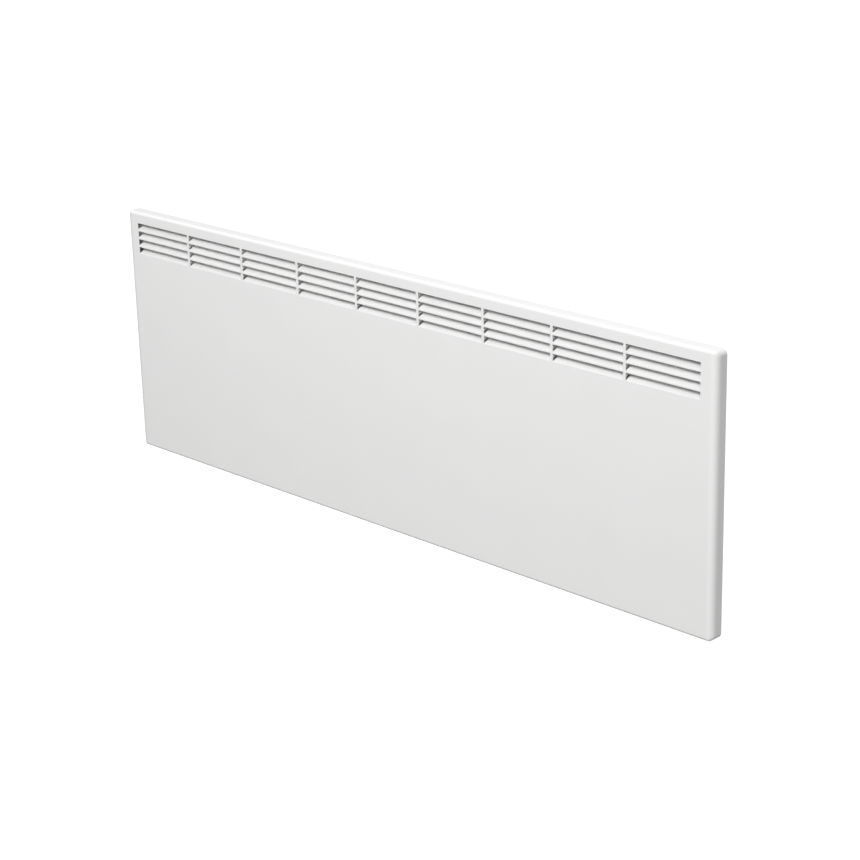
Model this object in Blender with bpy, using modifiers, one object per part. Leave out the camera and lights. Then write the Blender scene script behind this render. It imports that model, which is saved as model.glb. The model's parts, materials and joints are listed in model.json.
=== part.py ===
"""Wall-hung electric panel heater on its wall bracket, as separate named pieces.

Units are metres and +Z is up. The origin lies on the wall plane, at the middle of the bracket's rail.
The heater's front looks along -Y, and +X is its right-hand end as seen from the front.
"""

import math

import bmesh
import bpy
from mathutils import Matrix, Vector

# Overall size
WIDTH = 1.190
HEIGHT = 0.400
DEPTH = 0.064
HALF_WIDTH = WIDTH / 2
HALF_HEIGHT = HEIGHT / 2
FRONT = -DEPTH
GAP = 0.0003
SHEET = 0.0008
ROUND = 16
CUT_REACH = 0.005

# Front cover: a folded sheet-metal tray, open at the back
COVER_DEPTH = 0.021
COVER_BACK = FRONT + COVER_DEPTH
SIDE_RADIUS = 0.011
TOP_RADIUS = 0.0045
BOTTOM_RADIUS = 0.0040
CORNER_RADIUS = 0.008
COVER_SEGMENTS = 5

# Warm-air outlet: slots pressed in the cover, each with a blade bent inwards about its lower edge
COLUMNS = 9
ROWS = 4
COLUMN_PITCH = 0.127
ROW_PITCH = 0.0132
SLOT_LENGTH = 0.1225
SLOT_HEIGHT = 0.011
SLOT_TOP = HALF_HEIGHT - 0.018
BLADE_LENGTH = 0.0129
BLADE_ANGLE = math.radians(66)
BLADE_INSET = 0.00005
BLADE_ROOT = 0.0006

# Rear casing: a deeper tray with a flange that closes the back of the cover
WALL_GAP = 0.016
CASING_BACK = -WALL_GAP
CASING_FRONT = COVER_BACK - GAP
CASING_SIDE = HALF_WIDTH - 0.028
CASING_TOP = HALF_HEIGHT - 0.016
CASING_BOTTOM = -HALF_HEIGHT + 0.013
CASING_RADIUS = 0.002
FLANGE_INSET = SHEET + GAP
CASING_FLOOR = CASING_BOTTOM + SHEET
BACK_INSIDE = CASING_BACK - SHEET

# Cold-air intake slots in the casing's floor
INTAKE_COLUMNS = 8
INTAKE_ROWS = 3
INTAKE_LENGTH = 0.104
INTAKE_WIDTH = 0.0036
INTAKE_PITCH = 0.115
INTAKE_ROW_PITCH = 0.007
INTAKE_START = -0.488
INTAKE_MIDDLE = -0.030

# Screws that join the casing's flange to tabs of the cover
SCREW_X = (-0.500, 0.500)
SCREW_INSET = 0.0068
SCREW_RADIUS = 0.0018
SCREW_HEAD = 0.0036
SCREW_HEAD_HEIGHT = 0.0022
SCREW_LENGTH = 0.0052
SCREW_HOLE = SCREW_RADIUS + GAP
TAB_WIDTH = 0.016
TAB_HEIGHT = 0.0115
TAB_THICKNESS = 0.0012

# Heating element: finned aluminium extrusion round a steel-sheathed rod
ELEMENT_Y = -0.040
ELEMENT_Z = -0.110
ELEMENT_LEFT = -0.520
ELEMENT_RIGHT = 0.360
ELEMENT_HUB = 0.0072
ELEMENT_BORE = 0.0044
FIN_COUNT = 8
FIN_REACH_Y = 0.0175
FIN_REACH_Z = 0.030
FIN_THICKNESS = 0.0018
SHEATH_RADIUS = ELEMENT_BORE - GAP
SHEATH_OVERHANG = 0.022
PIN_RADIUS = 0.002
PIN_LENGTH = 0.009
SUPPORT_OFFSET = 0.010
SUPPORT_THICKNESS = 0.0012
SUPPORT_FRONT = -0.058
SUPPORT_HEIGHT = 0.070
SUPPORT_FOOT = 0.012
BUSH_NECK = 0.0070
BUSH_COLLAR = 0.0095
BUSH_COLLAR_HEIGHT = 0.0028
BUSH_DEPTH = 0.006
SHEET_GAP = 0.0005

# Air guides
SHIELD_Y = -0.019
SHIELD_LIP_Y = -0.026
SHIELD_BOTTOM = -0.168
SHIELD_TOP = 0.040
SHIELD_LIP = 0.004
SHIELD_THICKNESS = 0.0006
BAFFLE_START_Z = 0.120
BAFFLE_HALF_LENGTH = 0.555
BAFFLE_REACH_Y = 0.025
BAFFLE_RISE = 0.061
BAFFLE_STEPS = 8

# Overheat limiter above the element
LIMITER_X = 0.250
LIMITER_Y = -0.036
LIMITER_ARM_Z = -0.062
LIMITER_FOOT_Z = -0.038
LIMITER_FOOT_Y = -0.020
LIMITER_ARM_FRONT = -0.048
LIMITER_WIDTH = 0.026
LIMITER_BODY = 0.008
LIMITER_FLANGE = 0.0095
LIMITER_FLANGE_HEIGHT = 0.0015
LIMITER_SHOULDER = 0.0090
LIMITER_HEIGHT = 0.0105
BLADE_TAB = Vector((0.0008, 0.0063, 0.008))
LIMITER_TAB_X = 0.004

# Electrical compartment at the right-hand end
PARTITION_X = 0.404
PARTITION_FRONT = -0.062
PARTITION_TOP = -0.060
WIRE_HOLE = 0.009
WIRE_HOLE_Y = -0.028
WIRE_HOLE_Z = -0.174
HOUSING_LEFT = 0.458
HOUSING_RIGHT = 0.562
HOUSING_BACK = -0.018
HOUSING_FRONT = -0.060
HOUSING_TOP = -0.100
HOUSING_BOTTOM = CASING_FLOOR + SHEET_GAP
HOUSING_WALL = 0.002
HOUSING_HOLE_Y = -0.040
HOUSING_HOLE_Z = -0.150
LID_THICKNESS = 0.0016

# Control strip on the underside, with the floor projector's window and three buttons
STRIP_Y = -0.029
STRIP_X = 0.510
STRIP_LENGTH = 0.098
STRIP_WIDTH = 0.021
STRIP_THICKNESS = 0.0016
STRIP_TOP = CASING_BOTTOM - GAP
STRIP_FRAME_LENGTH = 0.090
STRIP_FRAME_WIDTH = 0.0164
STRIP_FRAME_WALL = 0.0014
STRIP_FRAME_TOP = -0.180
BUTTON_X = (0.508, 0.526, 0.544)
BUTTON_NAMES = ("minus_button", "plus_button", "mode_button")
BUTTON_RADIUS = 0.0045
BUTTON_FLANGE = 0.0060
BUTTON_PROUD = 0.0016
BUTTON_STEM_TOP = -0.1804
BUTTON_FLANGE_HEIGHT = 0.0014
BUTTON_CHAMFER = 0.0006
BOARD_THICKNESS = 0.0016
KEY_BOARD_BOTTOM = -0.1792
KEY_BOARD_HALF = Vector((0.026, 0.007, 0))
PROJECTOR_X = 0.482
WINDOW_RADIUS = 0.0050
BARREL_RADIUS = 0.0065
BARREL_WALL = 0.0012
BARREL_BOTTOM = -0.1868
BARREL_TOP = -0.152
LENS_Z = -0.166
LENS_RADIUS = BARREL_RADIUS - BARREL_WALL - GAP
LENS_CROWN = 0.0014
LENS_RIM = 0.0010
DISPLAY_SIZE = Vector((0.012, 0.012, 0.004))
DISPLAY_BOARD = Vector((0.018, 0.015, 0.0016))

# Control electronics
PCB_FRONT = -0.0246
PCB_LEFT = 0.462
PCB_RIGHT = 0.558
PCB_BOTTOM = -0.142
PCB_TOP = -0.104
RELAY_LOW = Vector((0.468, -0.0405, -0.134))
RELAY_HIGH = Vector((0.488, PCB_FRONT - GAP, -0.119))
RELAY_EDGE = 0.0006
TRANSFORMER_LOW = Vector((0.497, -0.0450, -0.136))
TRANSFORMER_HIGH = Vector((0.525, PCB_FRONT - GAP, -0.112))
TRANSFORMER_EDGE = 0.0015
CAPACITOR_X = 0.543
CAPACITOR_Z = -0.120
CAPACITOR_RADIUS = 0.006
CAPACITOR_LENGTH = 0.016

# Supply side: cord gland, terminal block, earth stud and power switch
GLAND_X = 0.418
GLAND_Y = -0.030
GLAND_BORE = 0.0042
GLAND_NECK = 0.0062
GLAND_COLLAR = 0.0090
GLAND_COLLAR_HEIGHT = 0.003
GLAND_CHAMFER = 0.0012
TERMINAL_LOW = Vector((0.412, -0.036, -0.140))
TERMINAL_HIGH = Vector((0.446, -0.0195, -0.122))
TERMINAL_WAYS = 3
TERMINAL_HOLE = 0.0019
TERMINAL_WELL_DEPTH = 0.006
EARTH_X = 0.428
EARTH_Z = -0.086
EARTH_RADIUS = 0.0020
EARTH_NUT_RADIUS = 0.0040
EARTH_NUT_HEIGHT = 0.0032
EARTH_LENGTH = 0.0100
SWITCH_X = 0.4435
SWITCH_BODY = Vector((0.0180, 0.0114, 0.022))
SWITCH_BEZEL = Vector((0.0240, 0.0170, STRIP_THICKNESS))
SWITCH_POCKET = Vector((0.0160, 0.0088, 0.0075))
ROCKER_WIDTH = 0.0080
ROCKER_HALF = 0.0072
ROCKER_TOP = 0.0030
ROCKER_TIP = 0.0032
ROCKER_WAIST = 0.0024
ROCKER_ANGLE = math.radians(7)
ROCKER_AXIS_Z = -0.1862

# Intake-air sensor
SENSOR_X = 0.386
SENSOR_Y = -0.038
SENSOR_Z = -0.1815
SENSOR_RADIUS = 0.0022
SENSOR_LENGTH = 0.014
SENSOR_HOLDER = Vector((0.008, 0.010, 0.009))

# Wires inside the heater
WIRE_RADIUS = 0.0011
WIRE_PIECES = 4

# Wall bracket: two uprights and a rail
UPRIGHT_X = 0.300
UPRIGHT_WIDTH = 0.030
UPRIGHT_DEPTH = 0.0135
UPRIGHT_SHEET = 0.0012
UPRIGHT_TOP = 0.178
UPRIGHT_BOTTOM = -0.157
UPRIGHT_FLANGE_TOP = 0.128
WALL_SCREW_HOLE = 0.0026
WALL_SCREW_Z = (0.100, -0.100)
RAIL_HEIGHT = 0.040
RAIL_DEPTH = 0.008

# Heater's pivot in the notches of the uprights
PIVOT_Y = -0.007
PIVOT_Z = -0.150
PIVOT_RADIUS = 0.0030
PIVOT_LENGTH = 0.038
NOTCH_RADIUS = PIVOT_RADIUS + GAP
NOTCH_RISE = 0.016
NOTCH_MOUTH = 0.009
EAR_THICKNESS = 0.003
EAR_RADIUS = 0.0052
LUG_WIDTH = 0.022
LUG_HEIGHT = 0.026
LUG_THICKNESS = 0.0015

# Quarter-turn locks at the top of the uprights, and the keepers that they catch
LOCK_Z = 0.152
LOCK_FRONT = -0.0128
LOCK_THICKNESS = 0.0026
LOCK_HALF_WIDTH = 0.005
LOCK_TONGUE = 0.017
LOCK_LEVER = 0.021
LOCK_HUB = 0.0065
RIVET_RADIUS = 0.0025
RIVET_HEAD = 0.0048
RIVET_HEAD_HEIGHT = 0.0012
KEEPER_INNER = 0.010
KEEPER_OUTER = 0.028
KEEPER_TOP = 0.176
KEEPER_SHELF = 0.164
KEEPER_LIP_BOTTOM = 0.142
KEEPER_LIP_Y = -0.0090
KEEPER_THICKNESS = 0.0015

# Leaf springs that steady the heater against the wall bracket
SPRING_WIDTH = 0.014
SPRING_THICKNESS = 0.0005
SPRING_BOTTOM = 0.040
SPRING_TOP = 0.088
SPRING_BULGE = 0.0154

# Turns a drawing plane so that its normal lies along X, Y or Z
FACING = {
    "X": Matrix.Rotation(math.pi / 2, 4, "Z") @ Matrix.Rotation(math.pi / 2, 4, "X"),
    "Y": Matrix.Rotation(math.pi / 2, 4, "X"),
    "Z": Matrix.Identity(4),
}


# ---------------------------------------------------------------------------
# Scene and materials


def clear_scene():
    for obj in list(bpy.data.objects):
        bpy.data.objects.remove(obj, do_unlink=True)


def collection(name):
    made = bpy.data.collections.new(name)
    bpy.context.scene.collection.children.link(made)
    return made


clear_scene()
PARTS = collection("panel_heater")
HELPERS = collection("cutters")


def material(name, color, roughness, metallic=0.0):
    made = bpy.data.materials.new(name)
    made.use_nodes = True
    shader = made.node_tree.nodes["Principled BSDF"]
    shader.inputs["Base Color"].default_value = (*color, 1.0)
    shader.inputs["Roughness"].default_value = roughness
    shader.inputs["Metallic"].default_value = metallic
    made.diffuse_color = (*color, 1.0)
    return made


WHITE_ENAMEL = material("white_enamel", (0.86, 0.86, 0.855), 0.38)
CASING_ENAMEL = material("casing_enamel", (0.82, 0.82, 0.815), 0.45)
ZINC = material("zinc_steel", (0.62, 0.63, 0.64), 0.35, 1.0)
ALUMINIUM = material("aluminium", (0.75, 0.76, 0.77), 0.40, 1.0)
SHEATH_STEEL = material("sheath_steel", (0.42, 0.41, 0.40), 0.45, 1.0)
CERAMIC = material("ceramic", (0.88, 0.85, 0.78), 0.55)
WHITE_PLASTIC = material("white_plastic", (0.85, 0.85, 0.84), 0.42)
GREY_PLASTIC = material("grey_plastic", (0.30, 0.31, 0.32), 0.50)
BLACK_PLASTIC = material("black_plastic", (0.03, 0.03, 0.032), 0.45)
BOARD_GREEN = material("board_green", (0.03, 0.16, 0.07), 0.40)
LENS_CLEAR = material("lens_clear", (0.90, 0.92, 0.93), 0.05)
BRASS = material("brass", (0.78, 0.60, 0.28), 0.35, 1.0)
RED_DISPLAY = material("display_block", (0.35, 0.05, 0.04), 0.40)
BROWN_WIRE = material("brown_wire", (0.22, 0.09, 0.04), 0.50)
BLUE_WIRE = material("blue_wire", (0.05, 0.14, 0.50), 0.50)
GREEN_WIRE = material("green_wire", (0.20, 0.48, 0.06), 0.50)
WHITE_WIRE = material("white_wire", (0.80, 0.80, 0.78), 0.50)


# ---------------------------------------------------------------------------
# Modelling tools


def add_object(name, mesh, look):
    """A visible piece when it has a look, and otherwise a helper that only cuts or joins."""
    obj = bpy.data.objects.new(name, mesh)
    if look:
        PARTS.objects.link(obj)
        mesh.materials.append(look)
    else:
        HELPERS.objects.link(obj)
        obj.hide_render = True
        obj.display_type = "WIRE"
    return obj


def mesh_of(bm, name):
    mesh = bpy.data.meshes.new(name)
    bm.to_mesh(mesh)
    bm.free()
    return mesh


def box(name, low, high, look=None):
    low, high = Vector(low), Vector(high)
    bm = bmesh.new()
    bmesh.ops.create_cube(bm, size=1.0)
    bmesh.ops.scale(bm, vec=high - low, verts=bm.verts)
    obj = add_object(name, mesh_of(bm, name), look)
    obj.location = (low + high) / 2
    return obj


def block(name, middle, size, look=None):
    """A box given by its middle and its size."""
    middle, half = Vector(middle), Vector(size) / 2
    return box(name, middle - half, middle + half, look)


def cylinder(name, radius, start, end, look=None):
    start, end = Vector(start), Vector(end)
    bm = bmesh.new()
    bmesh.ops.create_cone(
        bm,
        cap_ends=True,
        segments=ROUND,
        radius1=radius,
        radius2=radius,
        depth=(end - start).length,
    )
    obj = add_object(name, mesh_of(bm, name), look)
    obj.location = (start + end) / 2
    obj.rotation_euler = (end - start).to_track_quat("Z", "Y").to_euler()
    return obj


def turned(name, profile, base, direction, look, ring=False):
    """A turned piece: its profile is (radius, height) pairs, from the top down the outer side."""
    count = len(profile)
    edges = [(i, i + 1) for i in range(count - 1)]
    if ring:
        edges.append((count - 1, 0))
    mesh = bpy.data.meshes.new(name)
    mesh.from_pydata([(radius, 0, height) for radius, height in profile], edges, [])
    obj = add_object(name, mesh, look)
    obj.location = base
    obj.rotation_euler = Vector(direction).to_track_quat("Z", "Y").to_euler()
    screw = obj.modifiers.new("Turn", "SCREW")
    screw.steps = ROUND
    screw.render_steps = ROUND
    screw.use_merge_vertices = True
    screw.merge_threshold = 0.00001
    screw.use_smooth_shade = True
    return obj


def outline(name, loops, thickness, middle, facing, look=None):
    """A flat outline, with holes as further loops, extruded equally to both sides of its plane."""
    curve = bpy.data.curves.new(name, "CURVE")
    curve.dimensions = "2D"
    curve.fill_mode = "BOTH"
    curve.extrude = thickness / 2
    for points in loops:
        spline = curve.splines.new("POLY")
        spline.points.add(len(points) - 1)
        spline.use_cyclic_u = True
        for point, (across, up) in zip(spline.points, points):
            point.co = (across, up, 0, 1)
    flat = bpy.data.objects.new(name, curve)
    HELPERS.objects.link(flat)
    graph = bpy.context.evaluated_depsgraph_get()
    mesh = bpy.data.meshes.new_from_object(flat.evaluated_get(graph))
    bpy.data.objects.remove(flat, do_unlink=True)
    bm = bmesh.new()
    bm.from_mesh(mesh)
    bmesh.ops.remove_doubles(bm, verts=bm.verts, dist=0.00001)
    bmesh.ops.transform(bm, matrix=FACING[facing], verts=bm.verts)
    bm.to_mesh(mesh)
    bm.free()
    mesh.materials.clear()
    obj = add_object(name, mesh, look)
    obj.location = middle
    return obj


def folded_sheet(name, path, span, thickness, middle, facing, look):
    """A sheet folded along a path, which runs in the plane that `facing` names, and spans its normal."""
    bm = bmesh.new()
    points = [bm.verts.new((across, up, -span / 2)) for across, up in path]
    edges = [bm.edges.new(pair) for pair in zip(points, points[1:])]
    swept = bmesh.ops.extrude_edge_only(bm, edges=edges)["geom"]
    moved = [item for item in swept if isinstance(item, bmesh.types.BMVert)]
    bmesh.ops.translate(bm, vec=(0, 0, span), verts=moved)
    bmesh.ops.transform(bm, matrix=FACING[facing], verts=bm.verts)
    obj = add_object(name, mesh_of(bm, name), look)
    obj.location = middle
    solidify(obj, thickness, 0)
    return obj


def solidify(obj, thickness, offset):
    shell = obj.modifiers.new("Sheet", "SOLIDIFY")
    shell.thickness = thickness
    shell.offset = offset
    shell.use_even_offset = True


def bevel(obj, width, segments=2):
    edge = obj.modifiers.new("Edges", "BEVEL")
    edge.width = width
    edge.segments = segments
    edge.limit_method = "ANGLE"


def boolean(obj, operation, *others):
    for other in others:
        step = obj.modifiers.new(operation.title(), "BOOLEAN")
        step.operation = operation
        step.object = other


def repeat(obj, counts, pitches):
    """Copies along X, Y and Z inside one helper object."""
    for axis, (count, pitch) in enumerate(zip(counts, pitches)):
        if count > 1:
            array = obj.modifiers.new("Repeat", "ARRAY")
            array.count = count
            array.use_relative_offset = False
            array.use_constant_offset = True
            array.constant_offset_displace = [pitch if axis == i else 0.0 for i in range(3)]


def arc(radius, start, end, steps, middle=(0.0, 0.0), squash=1.0):
    """Points of an arc, or of an ellipse's arc where `squash` scales its height."""
    points = []
    for i in range(steps + 1):
        angle = start + (end - start) * i / steps
        points.append(
            (
                middle[0] + radius * math.cos(angle),
                middle[1] + radius * squash * math.sin(angle),
            )
        )
    return points


def circle(radius):
    return arc(radius, 0, 2 * math.pi, ROUND)[:-1]


def wire(name, points, look):
    """A round wire along a smooth curve through the points."""
    knots = [Vector(point) for point in points]
    knots = [knots[0], *knots, knots[-1]]
    route = []
    for before, start, end, after in zip(knots, knots[1:], knots[2:], knots[3:]):
        for i in range(WIRE_PIECES):
            t = i / WIRE_PIECES
            linear = (end - before) * t
            square = (2 * before - 5 * start + 4 * end - after) * t**2
            cube = (3 * start - before - 3 * end + after) * t**3
            route.append(start + (linear + square + cube) / 2)
    route.append(knots[-1])
    curve = bpy.data.curves.new(name, "CURVE")
    curve.dimensions = "3D"
    curve.bevel_depth = WIRE_RADIUS
    curve.bevel_resolution = 2
    curve.use_fill_caps = True
    spline = curve.splines.new("POLY")
    spline.points.add(len(route) - 1)
    for point, place in zip(spline.points, route):
        point.co = (*place, 1)
    return add_object(name, curve, look)


def pivot(name, place):
    """An empty on a joint's axis."""
    empty = bpy.data.objects.new(name, None)
    PARTS.objects.link(empty)
    empty.location = place
    empty.empty_display_size = SHEATH_OVERHANG
    return empty


def attach(obj, parent):
    """Parents a piece without moving it."""
    obj.parent = parent
    obj.matrix_parent_inverse = Matrix.Translation(parent.location).inverted()


# ---------------------------------------------------------------------------
# Front cover and rear casing


def rounded_tray():
    """The cover's outer surface: a box without its back, its edges weighted by their radii."""
    bm = bmesh.new()
    bmesh.ops.create_cube(bm, size=1.0)
    bmesh.ops.scale(bm, vec=(WIDTH, COVER_DEPTH, HEIGHT), verts=bm.verts)
    backs = [face for face in bm.faces if face.normal.y > 0.5]
    bmesh.ops.delete(bm, geom=backs, context="FACES_ONLY")
    weight = bm.edges.layers.float.new("bevel_weight_edge")
    for edge in bm.edges:
        if edge.is_boundary:
            continue
        run = edge.verts[0].co - edge.verts[1].co
        middle = (edge.verts[0].co + edge.verts[1].co) / 2
        if abs(run.z) > 0:
            radius = SIDE_RADIUS
        elif abs(run.y) > 0:
            radius = CORNER_RADIUS
        else:
            radius = TOP_RADIUS if middle.z > 0 else BOTTOM_RADIUS
        edge[weight] = radius / SIDE_RADIUS
    return bm


def screw_points():
    for side in (1, -1):
        for x in SCREW_X:
            yield x, side * (HALF_HEIGHT - SCREW_INSET)


def slot_cutter():
    first_x = -(COLUMNS - 1) / 2 * COLUMN_PITCH
    middle = (first_x, FRONT, SLOT_TOP - SLOT_HEIGHT / 2)
    cutter = block("slot_cutter", middle, (SLOT_LENGTH, 4 * SHEET, SLOT_HEIGHT))
    repeat(cutter, (COLUMNS, 1, ROWS), (COLUMN_PITCH, 0, -ROW_PITCH))
    return cutter


def louvre_blades():
    """The bent blades, each rooted inside the sheet below its slot."""
    reach, rise = math.sin(BLADE_ANGLE), math.cos(BLADE_ANGLE)
    tip = (BLADE_INSET + BLADE_LENGTH * reach, BLADE_LENGTH * rise)
    section = [
        (BLADE_INSET, -BLADE_ROOT),
        (BLADE_INSET, 0.0),
        tip,
        (tip[0] + SHEET * rise, tip[1] - SHEET * reach),
        (BLADE_INSET + SHEET * rise, -BLADE_ROOT),
    ]
    first_x = -(COLUMNS - 1) / 2 * COLUMN_PITCH
    middle = (first_x, FRONT, SLOT_TOP - SLOT_HEIGHT)
    blades = outline("louvre_blades", [section], SLOT_LENGTH - 2 * GAP, middle, "X")
    repeat(blades, (COLUMNS, 1, ROWS), (COLUMN_PITCH, 0, -ROW_PITCH))
    return blades


def cover_tabs():
    """Tabs bent in from the cover's top and bottom, which the casing's screws enter."""
    tabs = []
    front = CASING_FRONT - SHEET - GAP - TAB_THICKNESS
    for side in (1, -1):
        edge = side * (HALF_HEIGHT - SHEET / 2)
        inner = side * (HALF_HEIGHT - TAB_HEIGHT)
        low = (SCREW_X[0] - TAB_WIDTH / 2, front, min(edge, inner))
        high = (SCREW_X[0] + TAB_WIDTH / 2, front + TAB_THICKNESS, max(edge, inner))
        tab = box("cover_tab", low, high)
        repeat(tab, (len(SCREW_X), 1, 1), (SCREW_X[1] - SCREW_X[0], 0, 0))
        tabs.append(tab)
    return tabs


def screw_holes():
    holes = []
    for side in (1, -1):
        z = side * (HALF_HEIGHT - SCREW_INSET)
        start = (SCREW_X[0], CASING_FRONT + SHEET, z)
        end = (SCREW_X[0], CASING_FRONT - SHEET - 3 * TAB_THICKNESS, z)
        hole = cylinder("screw_hole", SCREW_HOLE, start, end)
        repeat(hole, (len(SCREW_X), 1, 1), (SCREW_X[1] - SCREW_X[0], 0, 0))
        holes.append(hole)
    return holes


def front_cover(holes):
    cover = add_object("front_cover", mesh_of(rounded_tray(), "front_cover"), WHITE_ENAMEL)
    cover.location = (0, (FRONT + COVER_BACK) / 2, 0)
    edges = cover.modifiers.new("Folds", "BEVEL")
    edges.width = SIDE_RADIUS
    edges.segments = COVER_SEGMENTS
    edges.limit_method = "WEIGHT"
    solidify(cover, SHEET, -1)
    boolean(cover, "DIFFERENCE", slot_cutter())
    boolean(cover, "UNION", louvre_blades(), *cover_tabs())
    boolean(cover, "DIFFERENCE", *holes)


def stepped_tray():
    """The casing's outer surface: back plate, four walls and an outward flange at the front."""
    bm = bmesh.new()
    bmesh.ops.create_grid(bm, x_segments=1, y_segments=1, size=0.5)
    bmesh.ops.rotate(bm, matrix=Matrix.Rotation(-math.pi / 2, 3, "X"), verts=bm.verts)
    for vert in bm.verts:
        vert.co.x = math.copysign(CASING_SIDE, vert.co.x)
        vert.co.y = CASING_BACK
        vert.co.z = CASING_TOP if vert.co.z > 0 else CASING_BOTTOM
    walls = bmesh.ops.extrude_edge_only(bm, edges=bm.edges[:])["geom"]
    rim = [item for item in walls if isinstance(item, bmesh.types.BMVert)]
    bmesh.ops.translate(bm, vec=(0, CASING_FRONT - CASING_BACK, 0), verts=rim)
    rim_edges = [edge for edge in bm.edges if edge.is_boundary]
    flange = bmesh.ops.extrude_edge_only(bm, edges=rim_edges)["geom"]
    corners = [item for item in flange if isinstance(item, bmesh.types.BMVert)]
    for vert in corners:
        vert.co.x = math.copysign(HALF_WIDTH - FLANGE_INSET, vert.co.x)
        vert.co.z = math.copysign(HALF_HEIGHT - FLANGE_INSET, vert.co.z)
    round_corners(bm, corners)
    folds = [edge for edge in bm.edges if edge_is_fold(edge)]
    bmesh.ops.bevel(bm, geom=folds, offset=CASING_RADIUS, segments=2, profile=0.5, affect="EDGES")
    bmesh.ops.recalc_face_normals(bm, faces=bm.faces)
    back = max(bm.faces, key=lambda face: face.calc_area() if abs(face.normal.y) > 0.9 else 0)
    if back.normal.y < 0:
        bmesh.ops.reverse_faces(bm, faces=bm.faces)
    return bm


def round_corners(bm, corners):
    """Rounds the flange's corners concentric with the cover's."""
    bmesh.ops.bevel(
        bm,
        geom=corners,
        offset=CORNER_RADIUS - FLANGE_INSET,
        segments=4,
        profile=0.5,
        affect="VERTICES",
    )


def edge_is_fold(edge):
    """True for the back plate's outline and for the casing's four short corners."""
    first, second = edge.verts[0].co, edge.verts[1].co
    at_back = max(first.y, second.y) > CASING_BACK - GAP
    inside = max(abs(first.x), abs(second.x)) < CASING_SIDE + GAP
    return at_back and inside and len(edge.link_faces) == 2


def intake_cutter():
    middle = (INTAKE_START, INTAKE_MIDDLE - INTAKE_ROW_PITCH, CASING_BOTTOM)
    cutter = block("intake_cutter", middle, (INTAKE_LENGTH, INTAKE_WIDTH, 6 * SHEET))
    repeat(cutter, (INTAKE_COLUMNS, INTAKE_ROWS, 1), (INTAKE_PITCH, INTAKE_ROW_PITCH, 0))
    return cutter


def floor_openings():
    """Openings in the casing's floor for the control strip, the power switch and the cord gland."""
    strip_size = (STRIP_FRAME_LENGTH + 2 * GAP, STRIP_FRAME_WIDTH + 2 * GAP, 2 * CUT_REACH)
    strip = block("strip_opening", (STRIP_X, STRIP_Y, CASING_BOTTOM), strip_size)
    switch_size = (SWITCH_BODY.x + 2 * GAP, SWITCH_BODY.y + 2 * GAP, 2 * CUT_REACH)
    switch = block("switch_opening", (SWITCH_X, STRIP_Y, CASING_BOTTOM), switch_size)
    gland = cylinder(
        "gland_opening",
        GLAND_NECK + GAP,
        (GLAND_X, GLAND_Y, CASING_BOTTOM - CUT_REACH),
        (GLAND_X, GLAND_Y, CASING_BOTTOM + CUT_REACH),
    )
    return strip, switch, gland


def rear_casing(holes, openings):
    casing = add_object("rear_casing", mesh_of(stepped_tray(), "rear_casing"), CASING_ENAMEL)
    solidify(casing, SHEET, -1)
    boolean(casing, "DIFFERENCE", intake_cutter(), *openings, *holes)


def cover_screws():
    profile = [
        (0.0, SCREW_HEAD_HEIGHT),
        (SCREW_HEAD * 0.55, SCREW_HEAD_HEIGHT),
        (SCREW_HEAD * 0.9, SCREW_HEAD_HEIGHT * 0.6),
        (SCREW_HEAD, 0.0),
        (SCREW_RADIUS, 0.0),
        (SCREW_RADIUS, -SCREW_LENGTH),
        (0.0, -SCREW_LENGTH - SCREW_RADIUS * 0.6),
    ]
    for number, (x, z) in enumerate(screw_points(), 1):
        turned(f"cover_screw_{number}", profile, (x, CASING_FRONT + GAP, z), (0, 1, 0), ZINC)


# ---------------------------------------------------------------------------
# Heating element and air guides


def fin_outline():
    """Section of the extrusion: a round hub with radial fins whose tips lie on an ellipse."""
    half = FIN_THICKNESS / 2
    root_angle = math.asin(half / ELEMENT_HUB)
    points = []
    for fin in range(FIN_COUNT):
        angle = 2 * math.pi * (fin + 0.5) / FIN_COUNT
        along = Vector((math.cos(angle), math.sin(angle)))
        across = Vector((-along.y, along.x)) * half
        reach = 1 / math.hypot(along.x / FIN_REACH_Y, along.y / FIN_REACH_Z)
        points.append(tuple(ELEMENT_HUB * rotated(along, -root_angle)))
        points.append(tuple(along * reach - across))
        points.append(tuple(along * reach + across))
        points.append(tuple(ELEMENT_HUB * rotated(along, root_angle)))
    return points


def rotated(vector, angle):
    turn = Matrix.Rotation(angle, 2)
    return turn @ vector


def heating_element():
    middle = ((ELEMENT_LEFT + ELEMENT_RIGHT) / 2, ELEMENT_Y, ELEMENT_Z)
    length = ELEMENT_RIGHT - ELEMENT_LEFT
    outline("element_fins", [fin_outline(), circle(ELEMENT_BORE)], length, middle, "X", ALUMINIUM)
    start = Vector((ELEMENT_LEFT - SHEATH_OVERHANG, ELEMENT_Y, ELEMENT_Z))
    end = Vector((ELEMENT_RIGHT + SHEATH_OVERHANG, ELEMENT_Y, ELEMENT_Z))
    sheath = cylinder("element_sheath", SHEATH_RADIUS, start, end, SHEATH_STEEL)
    bevel(sheath, SHEATH_RADIUS * 0.15, 1)
    pin = [
        (0.0, PIN_LENGTH),
        (PIN_RADIUS * 0.7, PIN_LENGTH),
        (PIN_RADIUS, PIN_LENGTH * 0.9),
        (PIN_RADIUS, PIN_LENGTH * 0.3),
        (PIN_RADIUS * 1.6, PIN_LENGTH * 0.3),
        (PIN_RADIUS * 1.6, 0.0),
        (0.0, 0.0),
    ]
    turned("element_pin_left", pin, start - Vector((GAP, 0, 0)), (-1, 0, 0), BRASS)
    turned("element_pin_right", pin, end + Vector((GAP, 0, 0)), (1, 0, 0), BRASS)


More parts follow.
